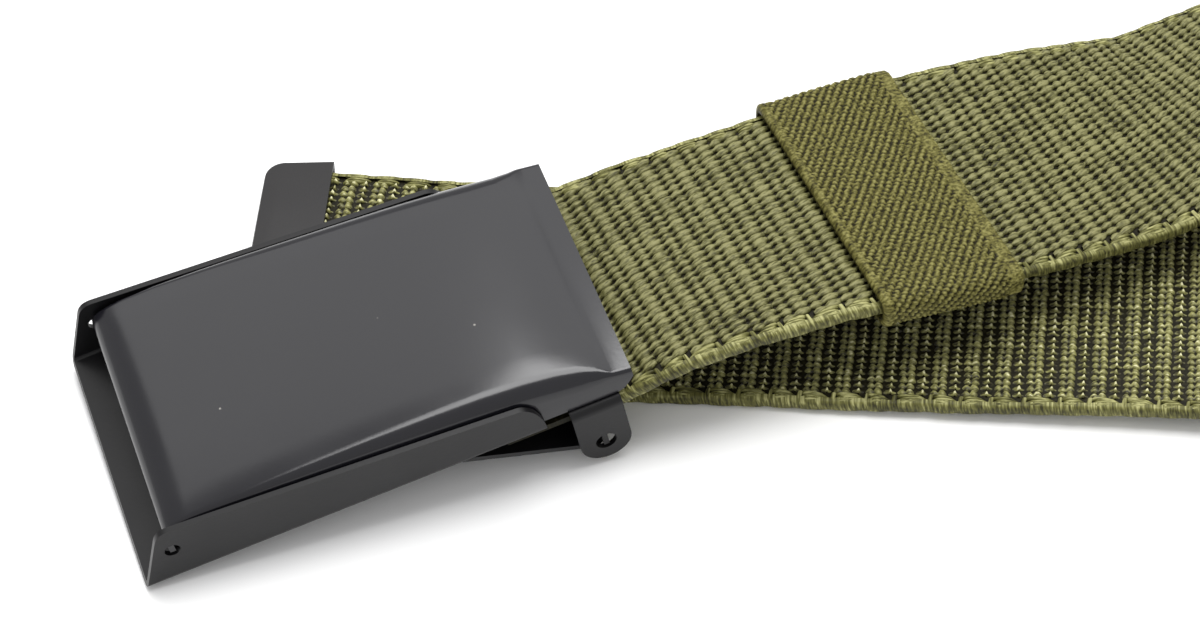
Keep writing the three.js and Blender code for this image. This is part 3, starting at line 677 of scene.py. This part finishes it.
def repeat_tree():
    """Geometry Nodes: repeats one cell in columns and rows and makes it one mesh."""
    tree = bpy.data.node_groups.new("repeat_cell", "GeometryNodeTree")
    put = tree.interface.new_socket
    put("Cell", in_out="INPUT", socket_type="NodeSocketObject")
    for name in ("Columns", "Rows"):
        put(name, in_out="INPUT", socket_type="NodeSocketInt")
    for name in ("Column Pitch", "Row Pitch"):
        put(name, in_out="INPUT", socket_type="NodeSocketFloat")
    put("Material", in_out="INPUT", socket_type="NodeSocketMaterial")
    put("Geometry", in_out="OUTPUT", socket_type="NodeSocketGeometry")
    new, link = tree.nodes.new, tree.links.new
    given, out = new("NodeGroupInput"), new("NodeGroupOutput")
    info = new("GeometryNodeObjectInfo")
    link(given.outputs["Cell"], info.inputs["Object"])
    grid = new("GeometryNodeMeshGrid")
    for name, axis in (("Column", "X"), ("Row", "Y")):
        steps = maths(tree, "SUBTRACT", given.outputs[name + "s"], 1)
        link(maths(tree, "MULTIPLY", steps, given.outputs[name + " Pitch"]), grid.inputs["Size " + axis])
        link(given.outputs[name + "s"], grid.inputs["Vertices " + axis])
    place = new("GeometryNodeInstanceOnPoints")
    link(grid.outputs["Mesh"], place.inputs["Points"])
    link(info.outputs["Geometry"], place.inputs["Instance"])
    real = new("GeometryNodeRealizeInstances")
    link(place.outputs["Instances"], real.inputs[0])
    merge = new("GeometryNodeMergeByDistance")
    link(real.outputs[0], merge.inputs["Geometry"])
    merge.inputs["Distance"].default_value = WELD
    finish = new("GeometryNodeSetMaterial")
    link(merge.outputs[0], finish.inputs["Geometry"])
    link(given.outputs["Material"], finish.inputs["Material"])
    link(finish.outputs[0], out.inputs[0])
    return tree


REPEAT = repeat_tree()


def repeated(name, cell, columns, rows, column_pitch, row_pitch, material):
    """A flat field of cells as a plain mesh, centred on zero."""
    holder = bpy.data.objects.new(name, bpy.data.meshes.new(name))
    bpy.context.scene.collection.objects.link(holder)
    modifier = holder.modifiers.new("repeat", "NODES")
    modifier.node_group = REPEAT
    sockets = {s.name: s.identifier for s in REPEAT.interface.items_tree if s.in_out == "INPUT"}
    values = {
        "Cell": cell,
        "Columns": columns,
        "Rows": rows,
        "Column Pitch": column_pitch,
        "Row Pitch": row_pitch,
        "Material": material,
    }
    for key, value in values.items():
        modifier[sockets[key]] = value
    bpy.context.view_layer.update()
    evaluated = holder.evaluated_get(bpy.context.evaluated_depsgraph_get())
    mesh = bpy.data.meshes.new_from_object(evaluated)
    holder.modifiers.remove(modifier)
    holder.data = mesh
    if not mesh.materials:
        mesh.materials.append(material)
    mesh.polygons.foreach_set("use_smooth", [True] * len(mesh.polygons))
    return holder


def wobble(rows, seed):
    """Small steady unevenness: one value for each period and row, from a seeded table."""
    return np.random.default_rng(seed).normal(0, 1.0, (PERIODS + 4, rows))


def skewed(points):
    """The weave leans a little, and ends with the belt."""
    points[:, 0] += -WEAVE_SKEW * points[:, 1]
    points[:, 0] = np.clip(points[:, 0], END_MARGIN, BELT_LENGTH - END_MARGIN)


def yarn_field(name, cell, first, last, side, material, seed, climb=0.0):
    """Yarns of one face between two periods. side is 1 on the outer face and -1 inside."""
    columns = last - first
    obj = repeated(name, cell, columns, YARN_COUNT, PERIOD, ROW_PITCH, material)
    mesh = obj.data
    p = coordinates(mesh)
    p[:, 0] += (columns - 1) * PERIOD / 2
    column = p[:, 0] / PERIOD
    level = p[:, 1] - climb * (column - np.floor(column + ROUNDING) - 0.5) * ROW_PITCH
    row = np.clip(np.round(level / ROW_PITCH + (YARN_COUNT - 1) / 2), 0, YARN_COUNT - 1).astype(int)
    grown, moved = wobble(YARN_COUNT, seed), wobble(YARN_COUNT, seed + 1)
    k = np.clip(np.floor(column).astype(int) + first, 0, PERIODS)
    blend = column - np.floor(column)
    height = grown[k, row] * (1 - blend) + grown[k + 1, row] * blend
    sway = moved[k, row] * (1 - blend) + moved[k + 1, row] * blend
    # painted shade low in the cell and painted highlight on the crowns, from the height in the cell,
    # with random unevenness from yarn to yarn
    crown = (p[:, 2] + YARN_FLANK) / (YARN_FLANK + YARN_RISE)
    run = p[:, 0] + first * PERIOD + STREAK_SHIFT * row
    uv = np.stack([run, p[:, 1] - climb * column * ROW_PITCH], 1)
    p[:, 2] += GROUND + height * YARN_LIFT
    p[:, 1] += sway * YARN_SWAY
    p[:, 0] += first * PERIOD + moved[k, row] * YARN_SLIP
    skewed(p)
    # on the inner face the ribs get less painted light and the highest knots a painted glint
    if side < 0:
        crown = RIB_PAINTED_LIGHT * crown + KNOT_PAINTED_GLINT * np.maximum(crown - 1.0, 0)
        p[:, 2] *= -1
        mesh.flip_normals()
    # the shade drops near the sealed end: painted shade inside the buckle
    shade = np.clip(crown + UNEVEN_SHADE * height, 0, SHADE_LIMIT) - painted_buckle_shade(p[:, 0])
    store_uv(mesh, uv)
    store_value(mesh, "shade", shade)
    set_coordinates(mesh, laid(p))
    return obj


def smooth_step(values):
    u = np.clip(values, 0, 1)
    return u * u * (3 - 2 * u)


def painted_buckle_shade(run):
    """Painted shade taken off near the sealed end inside the buckle; nothing along the rest."""
    return PAINTED_SHADE_DEPTH * (1 - smooth_step((run - PAINTED_SHADE_END) / PAINTED_SHADE_FADE))


def edge_proud(run):
    """How far the near woven edge stands out; nothing inside the buckle and the tip."""
    start = smooth_step((run - PROUD_FROM) / PROUD_RISE)
    end = smooth_step((BELT_LENGTH - TIP_LENGTH - PROUD_STOP - run) / PROUD_FALL)
    return NEAR_PROUD * start * end


def edge_field(name, cell, material, side):
    """The woven edge of the belt on one side."""
    columns = PERIODS - SEALED_PERIODS
    obj = repeated(name, cell, columns, 1, PERIOD, 1.0, material)
    mesh = obj.data
    p = coordinates(mesh)
    p[:, 0] += (columns - 1) * PERIOD / 2 + SEALED_PERIODS * PERIOD
    turned = np.empty(len(p), np.float32)
    mesh.attributes["turned"].data.foreach_get("value", turned)
    across = np.stack([p[:, 2], p[:, 0] + TURN_LEAN * p[:, 2]], 1)
    uv = np.where(turned[:, None] > 0.5, across, np.stack([p[:, 0], p[:, 1]], 1))
    place = p[:, 0] / PERIOD + 1
    k = np.clip(np.floor(place).astype(int), 0, PERIODS + 2)
    blend = place - np.floor(place)
    noise = wobble(3, EDGE_SEED + side)
    grown, moved, swayed = (noise[k, j] * (1 - blend) + noise[k + 1, j] * blend for j in range(3))
    lifted = np.abs(p[:, 2]) / (THICKNESS / 2)
    p[:, 1:] *= (1 + EDGE_GROWTH * grown)[:, None]
    p[:, 0] += EDGE_SLIP * moved
    p[:, 1] += EDGE_SWAY * swayed - WIDTH / 2
    if side > 0:
        p[:, 1] *= -1
        mesh.flip_normals()
    else:
        p[:, 1] -= edge_proud(p[:, 0])
    skewed(p)
    speckle = np.random.default_rng(SPECKLE_SEED + side).normal(0, EDGE_SPECKLE, len(p))
    # painted shade low on the rim and painted highlight on the raised strands, with random unevenness
    # and speckle
    crest = EDGE_SHADE + EDGE_PAINTED_HIGHLIGHT * lifted**3
    shade = np.clip(crest + EDGE_UNEVEN_SHADE * grown + speckle, 0, 1)
    store_uv(mesh, uv)
    store_value(mesh, "shade", shade - painted_buckle_shade(p[:, 0]))
    set_coordinates(mesh, laid(p))
    return obj


def core(material):
    """The ground weave under the yarns: a plain band that shows only in the gaps, coloured near black as
    painted shade.
    """
    side = WIDTH / 2 - RIM_DEPTH * RIM_LAP
    across = np.linspace(-side, side, CORE_COLUMNS)
    section = [(y, CORE_HALF) for y in across] + [(y, -CORE_HALF) for y in across[::-1]]
    runs = np.arange(0, BELT_LENGTH + CORE_MARGIN, CORE_STEP)
    points = np.array([(s, y, z) for s in runs for y, z in section])
    points[:, 0] = np.clip(points[:, 0], CORE_MARGIN, BELT_LENGTH - CORE_MARGIN)
    n = len(section)
    faces = [tuple(reversed(f)) for f in ring_faces(len(runs), n)]
    faces += [tuple(range(n)), tuple(reversed(range((len(runs) - 1) * n, len(runs) * n)))]
    obj = mesh_object("webbing_ground", laid(points), faces, smooth=False)
    obj.data.materials.append(material)
    store_uv(obj.data, points[:, :2])
    store_value(obj.data, "shade", np.full(len(points), CORE_SHADE))
    return obj


# Elastic keeper
def keeper_ring():
    """Its outline round the strip: points, outward normals and the way round in mm."""
    wide = WIDTH / 2 + TOUCH_GAP
    thick = THICKNESS / 2 + TOUCH_GAP
    r = min(thick, KEEPER_ROUND) + KEEPER_WALL
    wide, thick = wide + KEEPER_WALL, thick + KEEPER_WALL
    far = r - (wide + KEEPER_SLACK)
    near = wide - r
    corners = [(near, thick - r, 0), (far, thick - r, 90), (far, r - thick, 180), (near, r - thick, 270)]
    outline = []
    for y, z, start in corners:
        for k in range(CORNER_POINTS):
            a = math.radians(start + 90 * k / (CORNER_POINTS - 1))
            outline.append((y + r * math.cos(a), z + r * math.sin(a)))
    outline.append(outline[0])
    outline = np.array(outline)
    length = np.r_[0, np.cumsum(np.linalg.norm(np.diff(outline, axis=0), axis=1))]
    way = np.linspace(0, length[-1], int(length[-1] / GRAIN), endpoint=False)
    ring = np.stack([np.interp(way, length, outline[:, k]) for k in (0, 1)], 1)
    tangent = np.roll(ring, -1, 0) - np.roll(ring, 1, 0)
    tangent /= np.linalg.norm(tangent, axis=1)[:, None]
    return ring, np.stack([tangent[:, 1], -tangent[:, 0]], 1), way


def keeper_twill(s, way, grit):
    """Height of the slanting ribs and their ties at one place along the keeper, about 0 to 1."""
    slant = math.radians(TWILL_SLANT)
    rib = (s * math.sin(slant) + way * math.cos(slant)) / TWILL_PITCH
    row = np.floor(rib)
    stitch = (way * math.sin(slant) - s * math.cos(slant)) / STITCH + STITCH_LAG * row
    wave = np.sin(math.pi * (rib - row)) ** RIB_ROUNDNESS
    bead = np.abs(np.sin(math.pi * stitch))
    tie = np.clip(np.cos(2 * math.pi * (stitch + TIE_LAG)), 0, 1) ** 2
    lively = TIE_EVEN + (1 - TIE_EVEN) * grit
    return wave * (STITCH_BASE + (1 - STITCH_BASE) * bead) + (1 - wave) * TIE_SHARE * tie * lively


def keeper_ripple(s, way):
    """Low unevenness of the smooth edge, in mm."""
    fine = np.sin(2 * math.pi * way / RIPPLE_FINE["length"])
    broad = np.sin(2 * math.pi * way / RIPPLE_BROAD["length"] + s)
    return RIPPLE_FINE["height"] * fine + RIPPLE_BROAD["height"] * broad


def keeper(material):
    """A folded loop of elastic with slanting ribs of small stitches, hugging the strip."""
    ring, normal, way = keeper_ring()
    around = len(way)
    steps = int(KEEPER_LENGTH / GRAIN)
    grit = np.random.default_rng(KEEPER_SEED).normal(0, 1, (steps, around))
    grit = (grit + np.roll(grit, 1, 0) + np.roll(grit, 1, 1) + np.roll(grit, -1, 1)) / 4
    rings, uv, shade = [], [], []

    def add_ring(s, section, tone):
        lag = KEEPER_SKEW * (0.5 - section[:, 0] / WIDTH)
        rings.append(np.stack([KEEPER_FROM + lag + s, section[:, 0], section[:, 1]], 1))
        uv.append(np.stack([np.full(around, s), way], 1))
        shade.append(tone)

    for i, s in enumerate(np.linspace(0, KEEPER_LENGTH, steps)):
        weave = keeper_twill(s, way, grit[i])
        ripple = keeper_ripple(s, way)
        plain = np.clip((s - (KEEPER_LENGTH - KEEPER_SELVEDGE)) / SELVEDGE_FADE, 0, 1)
        ribbed = (1 - plain) * (1 - ease((FOLD_LENGTH - s) / FOLD_FADE))
        height = (weave - RIB_LEVEL) * RIB_DEPTH * ribbed + ripple * plain + KEEPER_GRIT * grit[i]
        # the rolled left edge and the tapered right edge
        rolled = math.sin(math.pi * s / ROLL_LENGTH) if s < ROLL_LENGTH else 0.0
        roll = ROLL_HEIGHT * rolled**ROLL_ROUNDNESS
        inset = min(1.0, min(s, KEEPER_LENGTH - s) / EDGE_TAPER)
        lift = height + roll - KEEPER_SINK - EDGE_TAPER * (1 - inset) ** 2 - SELVEDGE_SINK * plain
        # painted shade in the grooves and painted highlight on the crests, with random grit
        crest = weave * ribbed + (PLAIN_SHADE + RIPPLE_SHADE * ripple) * (1 - ribbed)
        tone = np.clip(CREST_GAIN * (crest - CREST_START) + GRIT_SHADE * grit[i], 0, 1)
        add_ring(s, ring + normal * lift[:, None], tone)
    # the inside of the loop is a plain wall in painted shade
    for s in (KEEPER_LENGTH, KEEPER_LENGTH * 0.5, 0.0):
        add_ring(s, ring - normal * INNER_DEPTH, np.full(around, INNER_SHADE))
    faces = []
    for i in range(len(rings)):
        here, ahead = i * around, (i + 1) % len(rings) * around
        for j in range(around):
            k = (j + 1) % around
            faces.append((here + j, ahead + j, ahead + k, here + k))
    obj = mesh_object("keeper_elastic", laid(np.concatenate(rings)), faces)
    obj.data.materials.append(material)
    store_uv(obj.data, np.concatenate(uv))
    store_value(obj.data, "shade", np.concatenate(shade))
    make_outward(obj.data)
    return obj


def make_outward(mesh):
    bm = bmesh.new()
    bm.from_mesh(mesh)
    bmesh.ops.recalc_face_normals(bm, faces=bm.faces)
    bm.to_mesh(mesh)
    bm.free()


# Metal pieces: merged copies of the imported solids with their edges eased
def eased_copy(node, name, material, width):
    """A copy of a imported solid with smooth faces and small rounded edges, width in mm."""
    sharp = math.radians(EASED_ANGLE)
    mesh = frame["nodes"][node].data.copy()
    mesh.name = name
    bm = bmesh.new()
    bm.from_mesh(mesh)
    bmesh.ops.remove_doubles(bm, verts=bm.verts, dist=MERGE_WITHIN)
    flat = math.radians(FLAT_WITHIN)
    bmesh.ops.dissolve_limit(bm, angle_limit=flat, verts=bm.verts, edges=bm.edges)
    for face in bm.faces:
        face.smooth = True
    for edge in bm.edges:
        edge.smooth = len(edge.link_faces) != 2 or edge.calc_face_angle(0) <= sharp
    bm.to_mesh(mesh)
    bm.free()
    mesh.materials.clear()
    mesh.materials.append(material)
    obj = bpy.data.objects.new(name, mesh)
    bpy.context.scene.collection.objects.link(obj)
    bevel = obj.modifiers.new("eased_edges", "BEVEL")
    bevel.width = width * MM
    bevel.segments = EASED_SEGMENTS
    bevel.limit_method = "ANGLE"
    bevel.angle_limit = sharp
    bevel.harden_normals = True
    bevel.use_clamp_overlap = True
    return obj


# Materials
def noise_texture(tree, where, detail):
    """A noise texture that is read at a place, as a node of a tree."""
    node = tree.nodes.new("ShaderNodeTexNoise")
    node.inputs["Detail"].default_value = detail
    tree.links.new(where, node.inputs["Vector"])
    return node


def fibre_group():
    """Fine fibres along a yarn: a height for the bump and a mask for the colour."""
    group = bpy.data.node_groups.new("yarn_fibres", "ShaderNodeTree")
    put = group.interface.new_socket
    put("Way", in_out="INPUT", socket_type="NodeSocketVector")
    for name in ("Along", "Across"):
        put(name, in_out="INPUT", socket_type="NodeSocketFloat")
    for name in ("Height", "Mottle"):
        put(name, in_out="OUTPUT", socket_type="NodeSocketFloat")
    new, link = group.nodes.new, group.links.new
    given, out = new("NodeGroupInput"), new("NodeGroupOutput")
    scale = new("ShaderNodeCombineXYZ")
    link(given.outputs["Along"], scale.inputs["X"])
    link(given.outputs["Across"], scale.inputs["Y"])
    stretch = new("ShaderNodeVectorMath")
    stretch.operation = "MULTIPLY"
    link(given.outputs["Way"], stretch.inputs[0])
    link(scale.outputs[0], stretch.inputs[1])
    fine = noise_texture(group, stretch.outputs[0], 2.0)
    fine.inputs["Scale"].default_value = 1.0
    broad = noise_texture(group, given.outputs["Way"], 3.0)
    broad.inputs["Scale"].default_value = MOTTLE_SCALE
    link(fine.outputs["Fac"], out.inputs["Height"])
    link(broad.outputs["Fac"], out.inputs["Mottle"])
    return group


def enamel_group():
    """Baked enamel: faint orange peel, softly uneven gloss and a few specks of dust."""
    group = bpy.data.node_groups.new("enamel_surface", "ShaderNodeTree")
    put = group.interface.new_socket
    put("Peel Scale", in_out="INPUT", socket_type="NodeSocketFloat")
    for name in ("Height", "Gloss", "Dust"):
        put(name, in_out="OUTPUT", socket_type="NodeSocketFloat")
    new, link = group.nodes.new, group.links.new
    given, out = new("NodeGroupInput"), new("NodeGroupOutput")
    where = new("ShaderNodeTexCoord").outputs["Object"]
    peel = noise_texture(group, where, 3.0)
    link(given.outputs["Peel Scale"], peel.inputs["Scale"])
    patches = noise_texture(group, where, 2.0)
    patches.inputs["Scale"].default_value = PATCH_SCALE
    specks = new("ShaderNodeTexVoronoi")
    specks.inputs["Scale"].default_value = SPECK_SCALE
    link(where, specks.inputs["Vector"])
    link(peel.outputs["Fac"], out.inputs["Height"])
    link(patches.outputs["Fac"], out.inputs["Gloss"])
    link(maths(group, "LESS_THAN", specks.outputs["Distance"], SPECK_RADIUS), out.inputs["Dust"])
    return group


FIBRES = fibre_group()
ENAMEL = enamel_group()


def principled(name):
    material = bpy.data.materials.new(name)
    material.use_nodes = True
    return material, material.node_tree.nodes["Principled BSDF"]


def relieved(tree, shader, height, strength, distance):
    """A bump of a height in metres on a shader."""
    relief = tree.nodes.new("ShaderNodeBump")
    relief.inputs["Strength"].default_value = strength
    relief.inputs["Distance"].default_value = distance
    tree.links.new(height, relief.inputs["Height"])
    tree.links.new(relief.outputs["Normal"], shader.inputs["Normal"])


def cloth_material(name, dark, middle, light, along, across, bump, gloss, middle_at=0.5):
    """Olive yarn: painted shade in the gaps and painted highlight on the crowns from the shade
    attribute, streaked along the fibres.
    """
    material, shader = principled(name)
    tree = material.node_tree
    new, link = tree.nodes.new, tree.links.new
    way = new("ShaderNodeUVMap")
    way.uv_map = "yarn_way"
    shade = new("ShaderNodeAttribute")
    shade.attribute_name = "shade"
    fibres = new("ShaderNodeGroup")
    fibres.node_tree = FIBRES
    fibres.inputs["Along"].default_value = along
    fibres.inputs["Across"].default_value = across
    link(way.outputs["UV"], fibres.inputs["Way"])
    streaked = maths(tree, "MULTIPLY_ADD", fibres.outputs["Height"], FIBRE_TONE, shade.outputs["Fac"])
    mottled = maths(tree, "MULTIPLY_ADD", fibres.outputs["Mottle"], MOTTLE_TONE, streaked)
    start = (FIBRE_TONE + MOTTLE_TONE) / 2
    share = new("ShaderNodeMapRange")
    share.inputs["From Min"].default_value = start
    share.inputs["From Max"].default_value = start + TONE_SPAN
    link(mottled, share.inputs["Value"])
    ramp = new("ShaderNodeValToRGB")
    ramp.color_ramp.elements[0].color = (*dark, 1)
    ramp.color_ramp.elements[1].color = (*light, 1)
    ramp.color_ramp.elements.new(middle_at).color = (*middle, 1)
    link(share.outputs["Result"], ramp.inputs["Fac"])
    link(ramp.outputs["Color"], shader.inputs["Base Color"])
    relieved(tree, shader, fibres.outputs["Height"], bump, FIBRE_RELIEF)
    shader.inputs["Roughness"].default_value = CLOTH_ROUGHNESS
    shader.inputs["Specular IOR Level"].default_value = gloss
    return material


def enamel_material(name, colour, roughness, peel_scale, peel, gleam):
    """Black enamel, with its roughness from the glossiest to the dullest patches."""
    material, shader = principled(name)
    tree = material.node_tree
    new, link = tree.nodes.new, tree.links.new
    surface = new("ShaderNodeGroup")
    surface.node_tree = ENAMEL
    surface.inputs["Peel Scale"].default_value = peel_scale
    tint = new("ShaderNodeMix")
    tint.data_type = "RGBA"
    tint.inputs[6].default_value = (*colour, 1)
    tint.inputs[7].default_value = (*DUST, 1)
    link(surface.outputs["Dust"], tint.inputs["Factor"])
    link(tint.outputs[2], shader.inputs["Base Color"])
    gloss = new("ShaderNodeMapRange")
    gloss.inputs["From Min"].default_value, gloss.inputs["From Max"].default_value = PATCH_RANGE
    gloss.inputs["To Min"].default_value, gloss.inputs["To Max"].default_value = roughness
    link(surface.outputs["Gloss"], gloss.inputs["Value"])
    link(gloss.outputs["Result"], shader.inputs["Roughness"])
    relieved(tree, shader, surface.outputs["Height"], peel, PEEL_RELIEF)
    shader.inputs["Specular IOR Level"].default_value = gleam
    return material


face_yarn = cloth_material(
    "olive_yarn",
    dark=(0.010, 0.0090, 0.0025),
    middle=(0.080, 0.0770, 0.023),
    light=(0.215, 0.207, 0.088),
    along=10.0,
    across=30.0,
    bump=1.2,
    gloss=0.22,
)
# a much lighter copy of the yarn: painted light for the inner face on the lower strip, its light end
# painting the knots' glints
back_yarn_painted_light = cloth_material(
    "olive_inner_yarn_painted_light",
    dark=(0.024, 0.021, 0.009),
    middle=(0.27, 0.262, 0.086),
    light=(0.62, 0.60, 0.36),
    along=9.0,
    across=28.0,
    bump=1.0,
    gloss=0.4,
    middle_at=0.74,
)
edge_yarn = cloth_material(
    "olive_selvedge",
    dark=(0.030, 0.028, 0.008),
    middle=(0.125, 0.121, 0.034),
    light=(0.36, 0.35, 0.150),
    along=6.0,
    across=30.0,
    bump=1.0,
    gloss=0.2,
)
# near-black colours: painted shade for the gaps between the yarns
ground = cloth_material(
    "olive_ground_painted_shade",
    dark=(0.008, 0.007, 0.003),
    middle=(0.018, 0.016, 0.007),
    light=(0.035, 0.031, 0.014),
    along=20.0,
    across=20.0,
    bump=0.3,
    gloss=0.1,
)
elastic = cloth_material(
    "olive_elastic",
    dark=(0.014, 0.012, 0.003),
    middle=(0.100, 0.091, 0.023),
    light=(0.215, 0.199, 0.066),
    along=18.0,
    across=26.0,
    bump=0.6,
    gloss=0.1,
)
cover_enamel = enamel_material(
    "cover_enamel",
    colour=(0.0075, 0.0073, 0.0098),
    roughness=(0.16, 0.21),
    peel_scale=1400,
    peel=0.05,
    gleam=0.42,
)
frame_enamel = enamel_material(
    "frame_enamel",
    colour=(0.0042, 0.0040, 0.0046),
    roughness=(0.34, 0.42),
    peel_scale=1800,
    peel=0.12,
    gleam=0.28,
)
tip_enamel = enamel_material(
    "tip_enamel",
    colour=(0.0105, 0.0095, 0.0100),
    roughness=(0.46, 0.56),
    peel_scale=2400,
    peel=0.25,
    gleam=0.38,
)


# Pieces
def body_of_node(node):
    for body, members in frame["record"]["behaviour"]["bodies"].items():
        if node in members:
            return body
    raise ValueError(node)


def hand_over(obj, node):
    """A finished piece rides on its node's body and hides the node."""
    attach(obj, body_of_node(node))
    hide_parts(node)


face_cell = yarn_cell("face_cell", FACE_ROWS, FINE_SECTION, FACE_CLIMB)
back_cell = yarn_cell("back_cell", BACK_ROWS, FINE_SECTION)
face_thin = yarn_cell("face_thin", FACE_ROWS, THIN_SECTION, FACE_CLIMB, THIN_FACE)
back_thin = yarn_cell("back_thin", BACK_ROWS, THIN_SECTION, 0.0, THIN_BACK)
knotted_edge = edge_cell("knotted_edge", KNOTS)
plain_edge = edge_cell("plain_edge", [])

# Fields of yarns: name, cell, the periods they run from and to, and then what their face says
half_face = (FINE_UPPER_TO + PERIODS) // 2
half_back = FINE_LOWER_FROM // 2
outer = (1, face_yarn, SEED, FACE_CLIMB)
inner = (-1, back_yarn_painted_light, BACK_SEED)
YARN_FIELDS = [
    ("yarns_face_near", face_cell, SEALED_PERIODS, FINE_UPPER_TO, *outer),
    ("yarns_back_near", back_cell, FINE_LOWER_FROM, PERIODS, *inner),
    ("yarns_face_far_a", face_thin, FINE_UPPER_TO, half_face, *outer),
    ("yarns_face_far_b", face_thin, half_face, PERIODS, *outer),
    ("yarns_back_far_a", back_thin, SEALED_PERIODS, half_back, *inner),
    ("yarns_back_far_b", back_thin, half_back, FINE_LOWER_FROM, *inner),
]
cloth = [core(ground)]
cloth += [yarn_field(*field) for field in YARN_FIELDS]
cloth.append(edge_field("selvedge_near", knotted_edge, edge_yarn, -1))
cloth.append(edge_field("selvedge_far", plain_edge, edge_yarn, 1))
for obj in cloth:
    hand_over(obj, "webbing")
hand_over(keeper(elastic), "elastic_keeper")

# Metal pieces: node, name, enamel, how far the edges are eased, and slot
METAL = [
    ("base_frame", "buckle_frame", frame_enamel, PLATE_EASE, "buckle_steel"),
    ("cover_plate", "buckle_cover", cover_enamel, PLATE_EASE, "cover_steel"),
    ("clamp_lever", "buckle_lever", frame_enamel, LEVER_EASE, "buckle_steel"),
    ("belt_tip", "tip_cap", tip_enamel, TIP_EASE, "tip_steel"),
]
for node, name, enamel, ease_width, slot in METAL:
    hand_over(eased_copy(node, name, enamel, ease_width), node)

for cell in (face_cell, back_cell, face_thin, back_thin, knotted_edge, plain_edge):
    bpy.data.objects.remove(cell)

# Floor, light and camera
floor_material, floor_shader = principled("pale_floor")
floor_shader.inputs["Base Color"].default_value = (FLOOR_TONE, FLOOR_TONE, FLOOR_TONE, 1)
floor_shader.inputs["Roughness"].default_value = FLOOR_ROUGHNESS
floor_shader.inputs["Specular IOR Level"].default_value = FLOOR_GLOSS
corners = [(x * FLOOR_HALF, y * FLOOR_HALF, 0) for x, y in ((-1, -1), (1, -1), (1, 1), (-1, 1))]
floor = mesh_object("floor", corners, [(0, 1, 2, 3)])
floor.data.materials.append(floor_material)

world = bpy.data.worlds.new("studio")
bpy.context.scene.world = world
world.use_nodes = True
sky = world.node_tree.nodes["Background"]
sky.inputs["Color"].default_value = (1, 1, 1, 1)
sky.inputs["Strength"].default_value = SKY_STRENGTH


def softbox(name, place, target, size, power):
    """A soft rectangular lamp that looks from its place at a target."""
    light = bpy.data.lights.new(name, "AREA")
    light.shape = "RECTANGLE"
    light.size, light.size_y = size
    light.energy = power
    obj = bpy.data.objects.new(name, light)
    bpy.context.scene.collection.objects.link(obj)
    obj.location = place
    obj.rotation_euler = (Vector(target) - Vector(place)).to_track_quat("-Z", "Y").to_euler()


softbox("overhead", place=(-0.10, 0.0, 0.75), target=(-0.1, -0.03, 0.0), size=(0.44, 0.30), power=3.6)
softbox("glint", place=(-0.13, 0.24, 0.75), target=(-0.2, -0.03, 0.0), size=(0.24, 0.16), power=1.3)
softbox("behind", place=(-0.35, 0.70, 0.95), target=(-0.2, -0.06, 0.0), size=(1.7, 0.6), power=5.0)

camera_data = bpy.data.cameras.new("camera")
camera_data.sensor_width = SENSOR
camera_data.lens = SENSOR * PIXEL_FOCUS / IMAGE_WIDTH
camera = bpy.data.objects.new("camera", camera_data)
bpy.context.scene.collection.objects.link(camera)
back = -CAMERA_AHEAD.normalized()
up = back.cross(CAMERA_RIGHT).normalized()
right = up.cross(back)
facing = Matrix((right, up, back)).transposed().to_4x4()
camera.matrix_world = Matrix.Translation(CAMERA_PLACE) @ facing
camera_data.clip_start = CAMERA_CLIP
bpy.context.scene.camera = camera
bpy.context.scene.view_settings.view_transform = "Standard"
